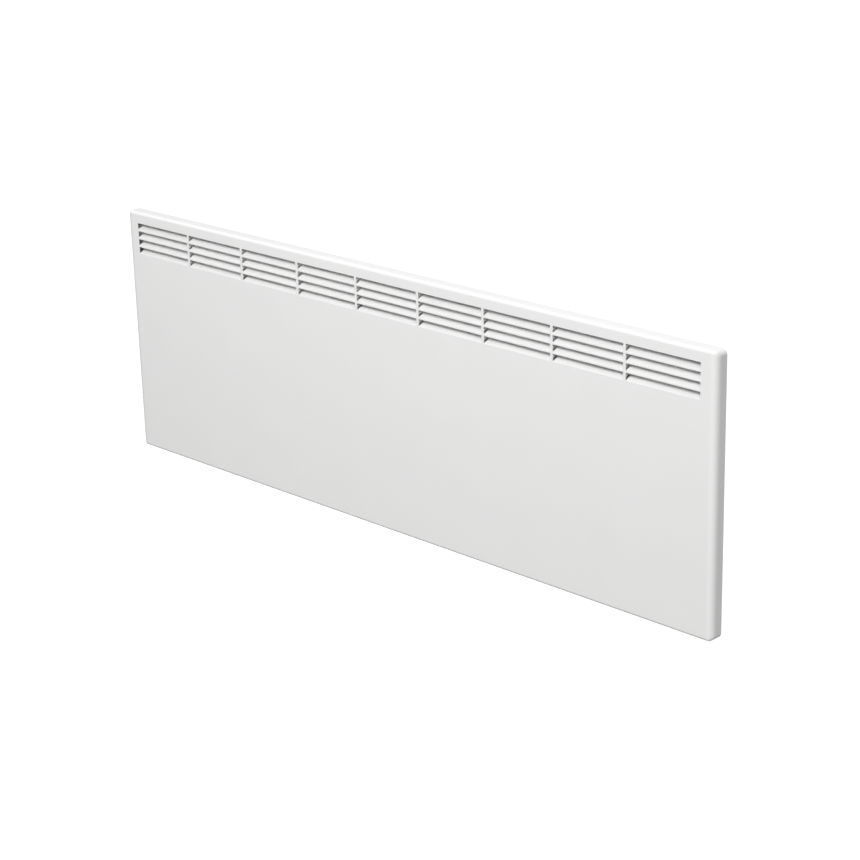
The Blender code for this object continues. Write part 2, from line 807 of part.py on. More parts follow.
def element_support(side, x, outward):
    """A folded plate on the casing's back, and the ceramic bush that it holds."""
    foot_y = BACK_INSIDE - SHEET_GAP - SUPPORT_THICKNESS / 2
    path = [(x, SUPPORT_FRONT), (x, foot_y), (x + outward * SUPPORT_FOOT, foot_y)]
    plate = folded_sheet(
        f"element_support_{side}",
        path,
        SUPPORT_HEIGHT,
        SUPPORT_THICKNESS,
        (0, 0, ELEMENT_Z),
        "Z",
        ZINC,
    )
    near = (x - SUPPORT_THICKNESS, ELEMENT_Y, ELEMENT_Z)
    far = (x + SUPPORT_THICKNESS, ELEMENT_Y, ELEMENT_Z)
    boolean(plate, "DIFFERENCE", cylinder(f"bush_hole_{side}", BUSH_NECK + GAP, near, far))
    face = SUPPORT_THICKNESS / 2 + GAP
    profile = [
        (BUSH_COLLAR, face + BUSH_COLLAR_HEIGHT),
        (BUSH_COLLAR, face),
        (BUSH_NECK, face),
        (BUSH_NECK, -BUSH_DEPTH),
        (ELEMENT_BORE, -BUSH_DEPTH),
        (ELEMENT_BORE, face + BUSH_COLLAR_HEIGHT),
    ]
    base = (x, ELEMENT_Y, ELEMENT_Z)
    turned(f"element_bush_{side}", profile, base, (-outward, 0, 0), CERAMIC, ring=True)


def heat_shield():
    path = [
        (SHIELD_LIP_Y, SHIELD_BOTTOM - SHIELD_LIP),
        (SHIELD_Y, SHIELD_BOTTOM),
        (SHIELD_Y, SHIELD_TOP),
        (SHIELD_LIP_Y, SHIELD_TOP + SHIELD_LIP),
    ]
    middle = ((ELEMENT_LEFT + ELEMENT_RIGHT) / 2, 0, 0)
    length = ELEMENT_RIGHT - ELEMENT_LEFT - SUPPORT_FOOT
    folded_sheet("heat_shield", path, length, SHIELD_THICKNESS, middle, "X", ALUMINIUM)


def air_baffle():
    """Turns the rising air forward to the louvres, with a quarter of an ellipse as its section."""
    path = arc(
        BAFFLE_REACH_Y,
        0,
        math.pi / 2,
        BAFFLE_STEPS,
        (COVER_BACK, BAFFLE_START_Z),
        BAFFLE_RISE / BAFFLE_REACH_Y,
    )
    length = 2 * BAFFLE_HALF_LENGTH
    folded_sheet("air_baffle", path, length, SHIELD_THICKNESS, (0, 0, 0), "X", CASING_ENAMEL)


def overheat_limiter():
    path = [
        (LIMITER_FOOT_Y, LIMITER_FOOT_Z),
        (LIMITER_FOOT_Y, LIMITER_ARM_Z),
        (LIMITER_ARM_FRONT, LIMITER_ARM_Z),
    ]
    folded_sheet(
        "limiter_bracket", path, LIMITER_WIDTH, SHEET, (LIMITER_X, 0, 0), "X", ZINC
    )
    profile = [
        (0.0, LIMITER_HEIGHT),
        (LIMITER_BODY * 0.8, LIMITER_HEIGHT),
        (LIMITER_BODY, LIMITER_SHOULDER),
        (LIMITER_BODY, LIMITER_FLANGE_HEIGHT),
        (LIMITER_FLANGE, LIMITER_FLANGE_HEIGHT),
        (LIMITER_FLANGE, 0.0),
        (0.0, 0.0),
    ]
    base = Vector((LIMITER_X, LIMITER_Y, LIMITER_ARM_Z + SHEET / 2 + GAP))
    limiter = turned("overheat_limiter", profile, base, (0, 0, 1), BLACK_PLASTIC)
    for side in (-1, 1):
        tab_z = LIMITER_HEIGHT - SHEET + BLADE_TAB.z / 2
        middle = base + Vector((side * LIMITER_TAB_X, 0, tab_z))
        boolean(limiter, "UNION", block("limiter_tab", middle, BLADE_TAB))


# ---------------------------------------------------------------------------
# Electrical compartment


def partition():
    """Keeps the warm air out of the electrical compartment."""
    foot_y = BACK_INSIDE - SHEET_GAP - SHEET / 2
    path = [
        (PARTITION_X, PARTITION_FRONT),
        (PARTITION_X, foot_y),
        (PARTITION_X + SUPPORT_FOOT, foot_y),
    ]
    bottom = CASING_FLOOR + SHEET_GAP
    middle = (0, 0, (bottom + PARTITION_TOP) / 2)
    span = PARTITION_TOP - bottom
    plate = folded_sheet("partition_plate", path, span, SHEET, middle, "Z", ZINC)
    hole = cylinder(
        "partition_hole",
        WIRE_HOLE,
        (PARTITION_X - CUT_REACH, WIRE_HOLE_Y, WIRE_HOLE_Z),
        (PARTITION_X + CUT_REACH, WIRE_HOLE_Y, WIRE_HOLE_Z),
    )
    boolean(plate, "DIFFERENCE", hole)


def control_housing(strip_opening):
    low = Vector((HOUSING_LEFT, HOUSING_FRONT, HOUSING_BOTTOM))
    high = Vector((HOUSING_RIGHT, HOUSING_BACK, HOUSING_TOP))
    wall = Vector((HOUSING_WALL,) * 3)
    housing = box("control_housing", low, high, WHITE_PLASTIC)
    bevel(housing, HOUSING_WALL / 2, 1)
    inner_low = low + wall
    inner_low.y = low.y - HOUSING_WALL
    hollow = box("housing_hollow", inner_low, high - wall)
    wire_hole = cylinder(
        "housing_hole",
        WIRE_HOLE * 0.7,
        (HOUSING_LEFT - CUT_REACH, HOUSING_HOLE_Y, HOUSING_HOLE_Z),
        (HOUSING_LEFT + CUT_REACH, HOUSING_HOLE_Y, HOUSING_HOLE_Z),
    )
    boolean(housing, "DIFFERENCE", hollow, wire_hole, strip_opening)
    lid_low = (HOUSING_LEFT, HOUSING_FRONT - GAP - LID_THICKNESS, HOUSING_BOTTOM)
    lid_high = (HOUSING_RIGHT, HOUSING_FRONT - GAP, HOUSING_TOP)
    bevel(box("housing_lid", lid_low, lid_high, WHITE_PLASTIC), LID_THICKNESS / 4, 1)


def control_strip():
    plate = block(
        "control_strip",
        (STRIP_X, STRIP_Y, STRIP_TOP - STRIP_THICKNESS / 2),
        (STRIP_LENGTH, STRIP_WIDTH, STRIP_THICKNESS),
        GREY_PLASTIC,
    )
    bevel(plate, STRIP_THICKNESS / 4, 1)
    frame_bottom = STRIP_TOP - STRIP_THICKNESS / 2
    frame_height = STRIP_FRAME_TOP - frame_bottom
    frame_middle = (STRIP_X, STRIP_Y, frame_bottom + frame_height / 2)
    outer = block(
        "strip_frame", frame_middle, (STRIP_FRAME_LENGTH, STRIP_FRAME_WIDTH, frame_height)
    )
    inner_size = (
        STRIP_FRAME_LENGTH - 2 * STRIP_FRAME_WALL,
        STRIP_FRAME_WIDTH - 2 * STRIP_FRAME_WALL,
        2 * (STRIP_FRAME_TOP - STRIP_TOP),
    )
    inner = block("strip_frame_hollow", (STRIP_X, STRIP_Y, STRIP_FRAME_TOP), inner_size)
    boolean(plate, "UNION", outer)
    boolean(plate, "DIFFERENCE", inner)
    below, above = STRIP_TOP - 2 * STRIP_THICKNESS, STRIP_TOP + STRIP_THICKNESS
    for x in BUTTON_X:
        hole = cylinder(
            "button_hole", BUTTON_RADIUS + GAP, (x, STRIP_Y, below), (x, STRIP_Y, above)
        )
        boolean(plate, "DIFFERENCE", hole)
    window_hole = cylinder(
        "window_hole",
        WINDOW_RADIUS + GAP,
        (PROJECTOR_X, STRIP_Y, below),
        (PROJECTOR_X, STRIP_Y, above),
    )
    boolean(plate, "DIFFERENCE", window_hole)


def buttons():
    """Three push buttons, each with a flange that keeps it behind the strip."""
    face = STRIP_TOP - STRIP_THICKNESS - BUTTON_PROUD
    flange = STRIP_TOP + GAP - face
    profile = [
        (0.0, BUTTON_STEM_TOP - face),
        (BUTTON_RADIUS * 0.5, BUTTON_STEM_TOP - face),
        (BUTTON_RADIUS * 0.5, flange + BUTTON_FLANGE_HEIGHT),
        (BUTTON_FLANGE, flange + BUTTON_FLANGE_HEIGHT),
        (BUTTON_FLANGE, flange),
        (BUTTON_RADIUS, flange),
        (BUTTON_RADIUS, BUTTON_CHAMFER),
        (BUTTON_RADIUS - BUTTON_CHAMFER, 0.0),
        (0.0, 0.0),
    ]
    for name, x in zip(BUTTON_NAMES, BUTTON_X):
        turned(name, profile, (x, STRIP_Y, face), (0, 0, 1), WHITE_PLASTIC)
    middle = Vector((BUTTON_X[1], STRIP_Y, KEY_BOARD_BOTTOM + BOARD_THICKNESS / 2))
    size = 2 * KEY_BOARD_HALF + Vector((0, 0, BOARD_THICKNESS))
    block("key_board", middle, size, BOARD_GREEN)


def floor_projector():
    """Display block, lens and window that throw the digits on the floor."""
    barrel_inner = BARREL_RADIUS - BARREL_WALL
    height = BARREL_TOP - BARREL_BOTTOM
    barrel = [
        (BARREL_RADIUS, height),
        (BARREL_RADIUS, 0.0),
        (barrel_inner, 0.0),
        (barrel_inner, height),
    ]
    base = Vector((PROJECTOR_X, STRIP_Y, BARREL_BOTTOM))
    turned("projector_barrel", barrel, base, (0, 0, 1), BLACK_PLASTIC, ring=True)
    crown = arc(LENS_RADIUS, math.pi / 2, 0, 4, (0.0, LENS_RIM / 2), LENS_CROWN / LENS_RADIUS)
    lens = [(abs(across), up) for across, up in crown]
    lens += [(across, -up) for across, up in reversed(lens)]
    turned("projector_lens", lens, (PROJECTOR_X, STRIP_Y, LENS_Z), (0, 0, 1), LENS_CLEAR)
    window = [
        (0.0, STRIP_THICKNESS),
        (WINDOW_RADIUS, STRIP_THICKNESS),
        (WINDOW_RADIUS, 0.0),
        (0.0, 0.0),
    ]
    window_base = (PROJECTOR_X, STRIP_Y, STRIP_TOP - STRIP_THICKNESS)
    turned("projector_window", window, window_base, (0, 0, 1), LENS_CLEAR)
    display_place = Vector((PROJECTOR_X, STRIP_Y, BARREL_TOP + GAP + DISPLAY_SIZE.z / 2))
    display = block("projector_display", display_place, DISPLAY_SIZE, RED_DISPLAY)
    board_place = display_place + Vector((0, 0, DISPLAY_SIZE.z / 2))
    boolean(display, "UNION", block("display_board", board_place, DISPLAY_BOARD))


def control_electronics():
    low = (PCB_LEFT, PCB_FRONT, PCB_BOTTOM)
    high = (PCB_RIGHT, PCB_FRONT + BOARD_THICKNESS, PCB_TOP)
    box("control_board", low, high, BOARD_GREEN)
    bevel(box("relay", RELAY_LOW, RELAY_HIGH, BLACK_PLASTIC), RELAY_EDGE, 1)
    transformer = box("transformer", TRANSFORMER_LOW, TRANSFORMER_HIGH, GREY_PLASTIC)
    bevel(transformer, TRANSFORMER_EDGE, 1)
    can = [
        (0.0, CAPACITOR_LENGTH),
        (CAPACITOR_RADIUS * 0.85, CAPACITOR_LENGTH),
        (CAPACITOR_RADIUS, CAPACITOR_LENGTH * 0.94),
        (CAPACITOR_RADIUS, 0.0),
        (0.0, 0.0),
    ]
    base = (CAPACITOR_X, PCB_FRONT - GAP, CAPACITOR_Z)
    turned("smoothing_capacitor", can, base, (0, -1, 0), BLACK_PLASTIC)


def cord_gland():
    """The inlet bush of the supply cord, clipped in the casing's floor."""
    outer = -GLAND_COLLAR_HEIGHT - GAP
    inner = SHEET + GAP
    profile = [
        (GLAND_COLLAR * 0.85, inner + GLAND_COLLAR_HEIGHT),
        (GLAND_COLLAR * 0.85, inner),
        (GLAND_NECK, inner),
        (GLAND_NECK, -GAP),
        (GLAND_COLLAR, -GAP),
        (GLAND_COLLAR, outer + GLAND_CHAMFER * 2 / 3),
        (GLAND_COLLAR - GLAND_CHAMFER, outer),
        (GLAND_BORE, outer),
        (GLAND_BORE, inner + GLAND_COLLAR_HEIGHT),
    ]
    base = (GLAND_X, GLAND_Y, CASING_BOTTOM)
    turned("cord_gland", profile, base, (0, 0, 1), GREY_PLASTIC, ring=True)


def terminal_block():
    terminals = box("terminal_block", TERMINAL_LOW, TERMINAL_HIGH, WHITE_PLASTIC)
    bevel(terminals, RELAY_EDGE, 1)
    pitch = (TERMINAL_HIGH.x - TERMINAL_LOW.x) / TERMINAL_WAYS
    z = (TERMINAL_LOW.z + TERMINAL_HIGH.z) / 2
    for way in range(TERMINAL_WAYS):
        x = TERMINAL_LOW.x + (way + 0.5) * pitch
        mouth = (x, TERMINAL_LOW.y - GAP, z)
        floor = (x, TERMINAL_LOW.y + TERMINAL_WELL_DEPTH, z)
        boolean(terminals, "DIFFERENCE", cylinder("terminal_well", TERMINAL_HOLE, mouth, floor))


def earth_stud():
    profile = [
        (0.0, EARTH_LENGTH),
        (EARTH_RADIUS * 0.85, EARTH_LENGTH),
        (EARTH_RADIUS, EARTH_LENGTH * 0.94),
        (EARTH_RADIUS, EARTH_NUT_HEIGHT),
        (EARTH_NUT_RADIUS, EARTH_NUT_HEIGHT),
        (EARTH_NUT_RADIUS, 0.0),
        (0.0, 0.0),
    ]
    turned("earth_stud", profile, (EARTH_X, BACK_INSIDE - GAP, EARTH_Z), (0, -1, 0), BRASS)


def power_switch():
    bezel_middle = Vector((SWITCH_X, STRIP_Y, STRIP_TOP - SWITCH_BEZEL.z / 2))
    body = block("power_switch_body", bezel_middle, SWITCH_BEZEL, BLACK_PLASTIC)
    bevel(body, SWITCH_BEZEL.z / 4, 1)
    core_bottom = bezel_middle.z
    core_middle = (SWITCH_X, STRIP_Y, core_bottom + SWITCH_BODY.z / 2)
    boolean(body, "UNION", block("switch_core", core_middle, SWITCH_BODY))
    mouth = STRIP_TOP - SWITCH_BEZEL.z
    pocket_middle = (SWITCH_X, STRIP_Y, mouth - GAP + SWITCH_POCKET.z / 2)
    boolean(body, "DIFFERENCE", block("switch_pocket", pocket_middle, SWITCH_POCKET))


def power_switch_rocker():
    """A shallow V-faced rocker, resting with its left end pressed in."""
    section = [
        (-ROCKER_HALF, ROCKER_TOP),
        (-ROCKER_HALF, -ROCKER_TIP),
        (0.0, -ROCKER_WAIST),
        (ROCKER_HALF, -ROCKER_TIP),
        (ROCKER_HALF, ROCKER_TOP),
    ]
    rocker = outline(
        "power_switch_rocker",
        [section],
        ROCKER_WIDTH,
        (SWITCH_X, STRIP_Y, ROCKER_AXIS_Z),
        "Y",
        WHITE_PLASTIC,
    )
    rocker.rotation_euler.y = ROCKER_ANGLE
    bevel(rocker, GAP, 1)


def intake_sensor():
    middle = Vector((SENSOR_X, SENSOR_Y, CASING_FLOOR + GAP + SENSOR_HOLDER.z / 2))
    holder = block("sensor_holder", middle, SENSOR_HOLDER, WHITE_PLASTIC)
    near = (SENSOR_X - SENSOR_HOLDER.x, SENSOR_Y, SENSOR_Z)
    far = (SENSOR_X + SENSOR_HOLDER.x, SENSOR_Y, SENSOR_Z)
    boolean(holder, "DIFFERENCE", cylinder("sensor_hole", SENSOR_RADIUS + GAP, near, far))
    bead = [
        (0.0, SENSOR_LENGTH),
        (SENSOR_RADIUS * 0.7, SENSOR_LENGTH),
        (SENSOR_RADIUS, SENSOR_LENGTH * 0.92),
        (SENSOR_RADIUS, SENSOR_LENGTH * 0.08),
        (SENSOR_RADIUS * 0.7, 0.0),
        (0.0, 0.0),
    ]
    base = (SENSOR_X - SENSOR_LENGTH / 2, SENSOR_Y, SENSOR_Z)
    turned("temperature_sensor", bead, base, (1, 0, 0), BLACK_PLASTIC)


def wires():
    """The heater's own leads, each whole, ending just short of the terminals that they join."""
    left_pin = ELEMENT_LEFT - SHEATH_OVERHANG - PIN_LENGTH - 3 * GAP
    right_pin = ELEMENT_RIGHT + SHEATH_OVERHANG + PIN_LENGTH + 3 * GAP
    tab_top = LIMITER_ARM_Z + LIMITER_HEIGHT + BLADE_TAB.z + SHEET
    run_y = SHIELD_LIP_Y + 0.002
    run_z = WIRE_HOLE_Z - 0.004
    wire(
        "neutral_lead",
        [
            (left_pin - WIRE_RADIUS, ELEMENT_Y, ELEMENT_Z),
            (left_pin - 0.004, ELEMENT_Y + 0.001, ELEMENT_Z - 0.012),
            (left_pin - 0.003, ELEMENT_Y + 0.006, ELEMENT_Z - 0.040),
            (left_pin + 0.012, run_y, run_z),
            (ELEMENT_LEFT + 0.100, run_y, run_z - 0.001),
            (0.0, run_y, run_z),
            (0.300, run_y, run_z - 0.001),
            (PARTITION_X - 0.010, run_y, run_z),
            (PARTITION_X + 0.003, run_y - 0.001, run_z + 0.004),
            (PARTITION_X + 0.012, run_y - 0.003, run_z + 0.018),
            (TERMINAL_LOW.x + 0.006, -0.027, TERMINAL_LOW.z - 2 * WIRE_RADIUS),
        ],
        BLUE_WIRE,
    )
    wire(
        "limiter_feed_lead",
        [
            (TERMINAL_LOW.x + 0.017, -0.027, TERMINAL_HIGH.z + GAP),
            (TERMINAL_LOW.x + 0.016, -0.029, TERMINAL_HIGH.z + 0.020),
            (PARTITION_X + 0.008, -0.034, PARTITION_TOP - 0.002),
            (PARTITION_X - 0.006, -0.036, PARTITION_TOP + 0.008),
            (0.340, -0.036, PARTITION_TOP + 0.010),
            (0.280, -0.036, PARTITION_TOP + 0.016),
            (LIMITER_X + LIMITER_TAB_X + 0.010, LIMITER_Y, tab_top),
            (LIMITER_X + LIMITER_TAB_X + 0.0022, LIMITER_Y, tab_top - 0.004),
        ],
        BROWN_WIRE,
    )
    wire(
        "limiter_return_lead",
        [
            (LIMITER_X - LIMITER_TAB_X - 0.0022, LIMITER_Y, tab_top - 0.004),
            (LIMITER_X - LIMITER_TAB_X - 0.006, LIMITER_Y - 0.003, tab_top + 0.004),
            (LIMITER_X, LIMITER_Y - 0.010, tab_top + 0.010),
            (LIMITER_X + 0.060, LIMITER_Y - 0.012, tab_top + 0.002),
            (0.360, -0.050, PARTITION_TOP - 0.002),
            (right_pin + 0.001, -0.050, ELEMENT_Z + 0.036),
            (right_pin + 0.004, -0.044, ELEMENT_Z + 0.012),
            (right_pin + WIRE_RADIUS, ELEMENT_Y, ELEMENT_Z),
        ],
        BROWN_WIRE,
    )
    wire(
        "sensor_lead",
        [
            (SENSOR_X + SENSOR_LENGTH / 2 + 3 * GAP, SENSOR_Y, SENSOR_Z),
            (PARTITION_X - 0.005, SENSOR_Y + 0.002, SENSOR_Z + 0.002),
            (PARTITION_X + 0.004, SENSOR_Y + 0.004, SENSOR_Z + 0.006),
            (PARTITION_X + 0.020, SENSOR_Y - 0.002, SENSOR_Z + 0.016),
            (HOUSING_LEFT - 0.012, HOUSING_HOLE_Y, HOUSING_HOLE_Z - 0.004),
            (HOUSING_LEFT + 0.001, HOUSING_HOLE_Y, HOUSING_HOLE_Z),
            (HOUSING_LEFT + 0.008, HOUSING_HOLE_Y + 0.006, HOUSING_HOLE_Z + 0.005),
            (PCB_LEFT + 0.004, PCB_FRONT - 2 * WIRE_RADIUS, PCB_BOTTOM + 0.005),
        ],
        WHITE_WIRE,
    )
    wire(
        "earth_lead",
        [
            (TERMINAL_HIGH.x - 0.006, -0.027, TERMINAL_HIGH.z + GAP),
            (TERMINAL_HIGH.x - 0.004, -0.029, TERMINAL_HIGH.z + 0.012),
            (EARTH_X + 0.010, -0.030, EARTH_Z - 0.012),
            (EARTH_X + 0.0035, -0.0235, EARTH_Z - 0.001),
        ],
        GREEN_WIRE,
    )
    switch_top = STRIP_TOP - SWITCH_BEZEL.z / 2 + SWITCH_BODY.z
    wire(
        "switch_lead",
        [
            (SWITCH_X - 0.004, STRIP_Y, switch_top + GAP),
            (SWITCH_X - 0.005, STRIP_Y, switch_top + 0.008),
            (TERMINAL_HIGH.x - 0.008, -0.028, TERMINAL_LOW.z - 0.010),
            (TERMINAL_HIGH.x - 0.008, -0.027, TERMINAL_LOW.z - GAP),
        ],
        BROWN_WIRE,
    )


# ---------------------------------------------------------------------------
# What the heater hangs by


def pivot_lug(side, x):
    """A lug on the casing's back, and welded in its ear the pin that rests in the upright's notches."""
    foot_back = CASING_BACK + GAP + LUG_THICKNESS
    foot = box(
        f"pivot_lug_{side}",
        (x - LUG_WIDTH / 2, CASING_BACK + GAP, PIVOT_Z - LUG_HEIGHT / 2),
        (x + LUG_WIDTH / 2, foot_back, PIVOT_Z + LUG_HEIGHT / 2),
        ZINC,
    )
    root = foot_back - LUG_THICKNESS / 2
    round_end = arc(EAR_RADIUS, -math.pi / 2, math.pi / 2, 8, (PIVOT_Y, PIVOT_Z))
    section = [(root, PIVOT_Z - EAR_RADIUS), *round_end, (root, PIVOT_Z + EAR_RADIUS)]
    boolean(foot, "UNION", outline("pivot_ear", [section], EAR_THICKNESS, (x, 0, 0), "X"))
    half = Vector((PIVOT_LENGTH / 2, 0, 0))
    place = Vector((x, PIVOT_Y, PIVOT_Z))
    boolean(foot, "UNION", cylinder("pivot_pin", PIVOT_RADIUS, place - half, place + half))


def keeper(side, x, inward):
    """A folded catch on the casing's back; its lip hangs behind the lock's tongue when that is turned."""
    foot_y = CASING_BACK + GAP + KEEPER_THICKNESS / 2
    path = [
        (foot_y, KEEPER_TOP),
        (foot_y, KEEPER_SHELF),
        (KEEPER_LIP_Y, KEEPER_SHELF),
        (KEEPER_LIP_Y, KEEPER_LIP_BOTTOM),
    ]
    middle = (x + inward * (KEEPER_INNER + KEEPER_OUTER) / 2, 0, 0)
    width = KEEPER_OUTER - KEEPER_INNER
    folded_sheet(f"keeper_{side}", path, width, KEEPER_THICKNESS, middle, "X", ZINC)


def heater():
    holes = screw_holes()
    openings = floor_openings()
    front_cover(holes)
    rear_casing(holes, openings)
    cover_screws()
    heating_element()
    element_support("left", ELEMENT_LEFT - SUPPORT_OFFSET, -1)
    element_support("right", ELEMENT_RIGHT + SUPPORT_OFFSET, 1)
    heat_shield()
    air_baffle()
    overheat_limiter()
    partition()
    control_housing(openings[0])
    control_strip()
    buttons()
    floor_projector()
    control_electronics()
    cord_gland()
    terminal_block()
    earth_stud()
    power_switch()
    power_switch_rocker()
    intake_sensor()
    wires()
    for side, x, inward in (("left", -UPRIGHT_X, 1), ("right", UPRIGHT_X, -1)):
        pivot_lug(side, x)
        keeper(side, x, inward)


# ---------------------------------------------------------------------------
# Wall bracket


def upright(side, x):
    """A channel whose two flanges carry the notches for the heater's pivot pin."""
    half = (UPRIGHT_WIDTH - UPRIGHT_SHEET) / 2
    web_y = -UPRIGHT_SHEET / 2
    path = [
        (x - half, -UPRIGHT_DEPTH),
        (x - half, web_y),
        (x + half, web_y),
        (x + half, -UPRIGHT_DEPTH),
    ]
    channel = folded_sheet(
        f"bracket_upright_{side}",
        path,
        UPRIGHT_TOP - UPRIGHT_BOTTOM,
        UPRIGHT_SHEET,
        (0, 0, (UPRIGHT_TOP + UPRIGHT_BOTTOM) / 2),
        "Z",
        ZINC,
    )
    notch_top = PIVOT_Z + NOTCH_RISE
    notch = [
        *arc(NOTCH_RADIUS, math.pi, 2 * math.pi, 8, (PIVOT_Y, PIVOT_Z)),
        (PIVOT_Y + NOTCH_RADIUS, notch_top),
        (-2 * UPRIGHT_DEPTH, notch_top),
        (-2 * UPRIGHT_DEPTH, notch_top - NOTCH_MOUTH),
        (PIVOT_Y - NOTCH_RADIUS, notch_top - NOTCH_MOUTH),
    ]
    boolean(
        channel,
        "DIFFERENCE",
        outline(f"notch_{side}", [notch], 2 * UPRIGHT_WIDTH, (x, 0, 0), "X"),
        box(
            f"flange_trim_{side}",
            (x - UPRIGHT_WIDTH, -2 * UPRIGHT_DEPTH, UPRIGHT_FLANGE_TOP),
            (x + UPRIGHT_WIDTH, -UPRIGHT_SHEET, 2 * UPRIGHT_TOP),
        ),
    )
    for z in WALL_SCREW_Z:
        near = (x, UPRIGHT_SHEET, z)
        far = (x, -3 * UPRIGHT_SHEET, z)
        boolean(channel, "DIFFERENCE", cylinder("wall_screw_hole", WALL_SCREW_HOLE, near, far))


def rail():
    half = RAIL_HEIGHT / 2
    web_y = -UPRIGHT_SHEET / 2
    path = [(-RAIL_DEPTH, -half), (web_y, -half), (web_y, half), (-RAIL_DEPTH, half)]
    length = 2 * (UPRIGHT_X - UPRIGHT_WIDTH / 2 - GAP)
    folded_sheet("bracket_rail", path, length, UPRIGHT_SHEET, (0, 0, 0), "X", ZINC)


def lock(side, x):
    """A quarter-turn lock, at rest open: its lever points up and its tongue points down."""
    round_end = arc(LOCK_HALF_WIDTH, 0, math.pi, 8, (0.0, LOCK_LEVER))
    bar = [(-LOCK_HALF_WIDTH, -LOCK_TONGUE), (LOCK_HALF_WIDTH, -LOCK_TONGUE), *round_end]
    place = Vector((x, LOCK_FRONT + LOCK_THICKNESS / 2, LOCK_Z))
    latch = outline(f"lock_{side}", [bar], LOCK_THICKNESS, place, "Y", WHITE_PLASTIC)
    hub_front = (x, place.y, LOCK_Z)
    hub_back = (x, -UPRIGHT_SHEET - GAP, LOCK_Z)
    boolean(latch, "UNION", cylinder("lock_hub", LOCK_HUB, hub_front, hub_back))
    bore_front = (x, LOCK_FRONT - LOCK_THICKNESS, LOCK_Z)
    bore_back = (x, 0, LOCK_Z)
    bore = cylinder("lock_bore", RIVET_RADIUS + GAP, bore_front, bore_back)
    boolean(latch, "DIFFERENCE", bore)
    head = -LOCK_FRONT + GAP
    rivet = [
        (0.0, head + RIVET_HEAD_HEIGHT),
        (RIVET_HEAD * 0.7, head + RIVET_HEAD_HEIGHT),
        (RIVET_HEAD, head + RIVET_HEAD_HEIGHT * 0.4),
        (RIVET_HEAD, head),
        (RIVET_RADIUS, head),
        (RIVET_RADIUS, UPRIGHT_SHEET + GAP),
        (0.0, UPRIGHT_SHEET + GAP),
    ]
    turned(f"lock_rivet_{side}", rivet, (x, 0, LOCK_Z), (0, -1, 0), ZINC)


def leaf_spring(side, x):
    web = -UPRIGHT_SHEET - GAP - SPRING_THICKNESS / 2
    middle_z = (SPRING_BOTTOM + SPRING_TOP) / 2
    half = (SPRING_TOP - SPRING_BOTTOM) / 2
    rise = (SPRING_BULGE + web) / half
    bulge = arc(half, -math.pi / 2, math.pi / 2, 10)
    path = [(web, SPRING_BOTTOM - half / 2)]
    path += [(web - across * rise, middle_z + up) for across, up in bulge]
    folded_sheet(f"spring_clip_{side}", path, SPRING_WIDTH, SPRING_THICKNESS, (x, 0, 0), "X", ZINC)


def wall_bracket():
    rail()
    for side, x in (("left", -UPRIGHT_X), ("right", UPRIGHT_X)):
        upright(side, x)
        lock(side, x)
        leaf_spring(side, x)


def main():
    wall_bracket()
    bracket_objects = set(bpy.data.objects)
    heater()
    tilt_axis = pivot("heater_tilt_axis", (0, PIVOT_Y, PIVOT_Z))
    for obj in bpy.data.objects:
        if obj not in bracket_objects and obj is not tilt_axis:
            attach(obj, tilt_axis)


main()
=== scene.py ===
"""Looks of the wall-hung panel heater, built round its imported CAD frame.

Units are metres and +Z is up, in the frame of the CAD model: the wall plane is y = 0, and the
front looks along -Y.
"""

import json
import math

import bmesh
import bpy
from mathutils import Matrix, Vector


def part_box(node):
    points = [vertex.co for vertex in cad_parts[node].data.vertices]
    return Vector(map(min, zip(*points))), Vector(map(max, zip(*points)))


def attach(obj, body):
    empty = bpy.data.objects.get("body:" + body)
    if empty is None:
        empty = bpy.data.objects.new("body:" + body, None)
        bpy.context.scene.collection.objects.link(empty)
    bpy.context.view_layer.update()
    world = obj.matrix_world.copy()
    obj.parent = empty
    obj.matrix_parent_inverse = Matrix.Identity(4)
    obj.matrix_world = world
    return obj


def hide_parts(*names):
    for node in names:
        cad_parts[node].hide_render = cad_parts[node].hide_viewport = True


# Clearance, main sheet, reach of the cutters, and rounding of cut edges
GAP = 0.0003
SHEET = 0.0008
CUT_DEPTH = 0.010
EDGE_BREAK = 0.00015

# Front cover: its edges, and the folds round its four sides
COVER_EDGE = 0.00016
COVER_SIDE_RADIUS = 0.011
COVER_TOP_RADIUS = 0.0045
COVER_BOTTOM_RADIUS = 0.0040
COVER_CORNER_RADIUS = 0.008
COVER_FRONT_CORNER = 0.0006
SECTION_STEPS = 14

# Louvres: slots pressed in the cover, each with a blade bent inwards about its lower edge
COLUMNS = 9
ROWS = 4
COLUMN_PITCH = 0.127
ROW_PITCH = 0.0132
SLOT_LENGTH = 0.1225
SLOT_HEIGHT = 0.011
SLOT_TOP_INSET = 0.018
BLADE_LENGTH = 0.0129
BLADE_ANGLE = math.radians(66)
BLADE_FOLD = 0.0009
BLADE_FOLD_STEPS = 6
TAB_WIDTH = 0.016
TAB_HEIGHT = 0.0115
TAB_THICKNESS = 0.0012

# Rear casing
CASING_SIDE_INSET = 0.0269
CASING_TOP_INSET = 0.0149
CASING_BOTTOM_INSET = 0.0119
CASING_CORNER = 0.0028
CASING_FOLD = 0.0018
CASING_ROOT_FOLD = 0.0010
FLANGE_CORNER = 0.0069
INTAKE_COLUMNS = 8
INTAKE_ROWS = 3
INTAKE_SIZE = Vector((0.104, 0.0036))
INTAKE_PITCH = 0.115
INTAKE_ROW_PITCH = 0.007
INTAKE_START = Vector((-0.488, -0.037))
SLOT_END_STEPS = 8

# Screws that join the casing's flange to the cover's tabs
SCREWS = 4
SCREW_RADIUS = 0.0018
SCREW_HOLE = 0.0021
SCREW_HEAD_HEIGHT = 0.0022
SCREW_CROSS = Vector((0.0034, 0.0007))
SCREW_RECESS = 0.0013

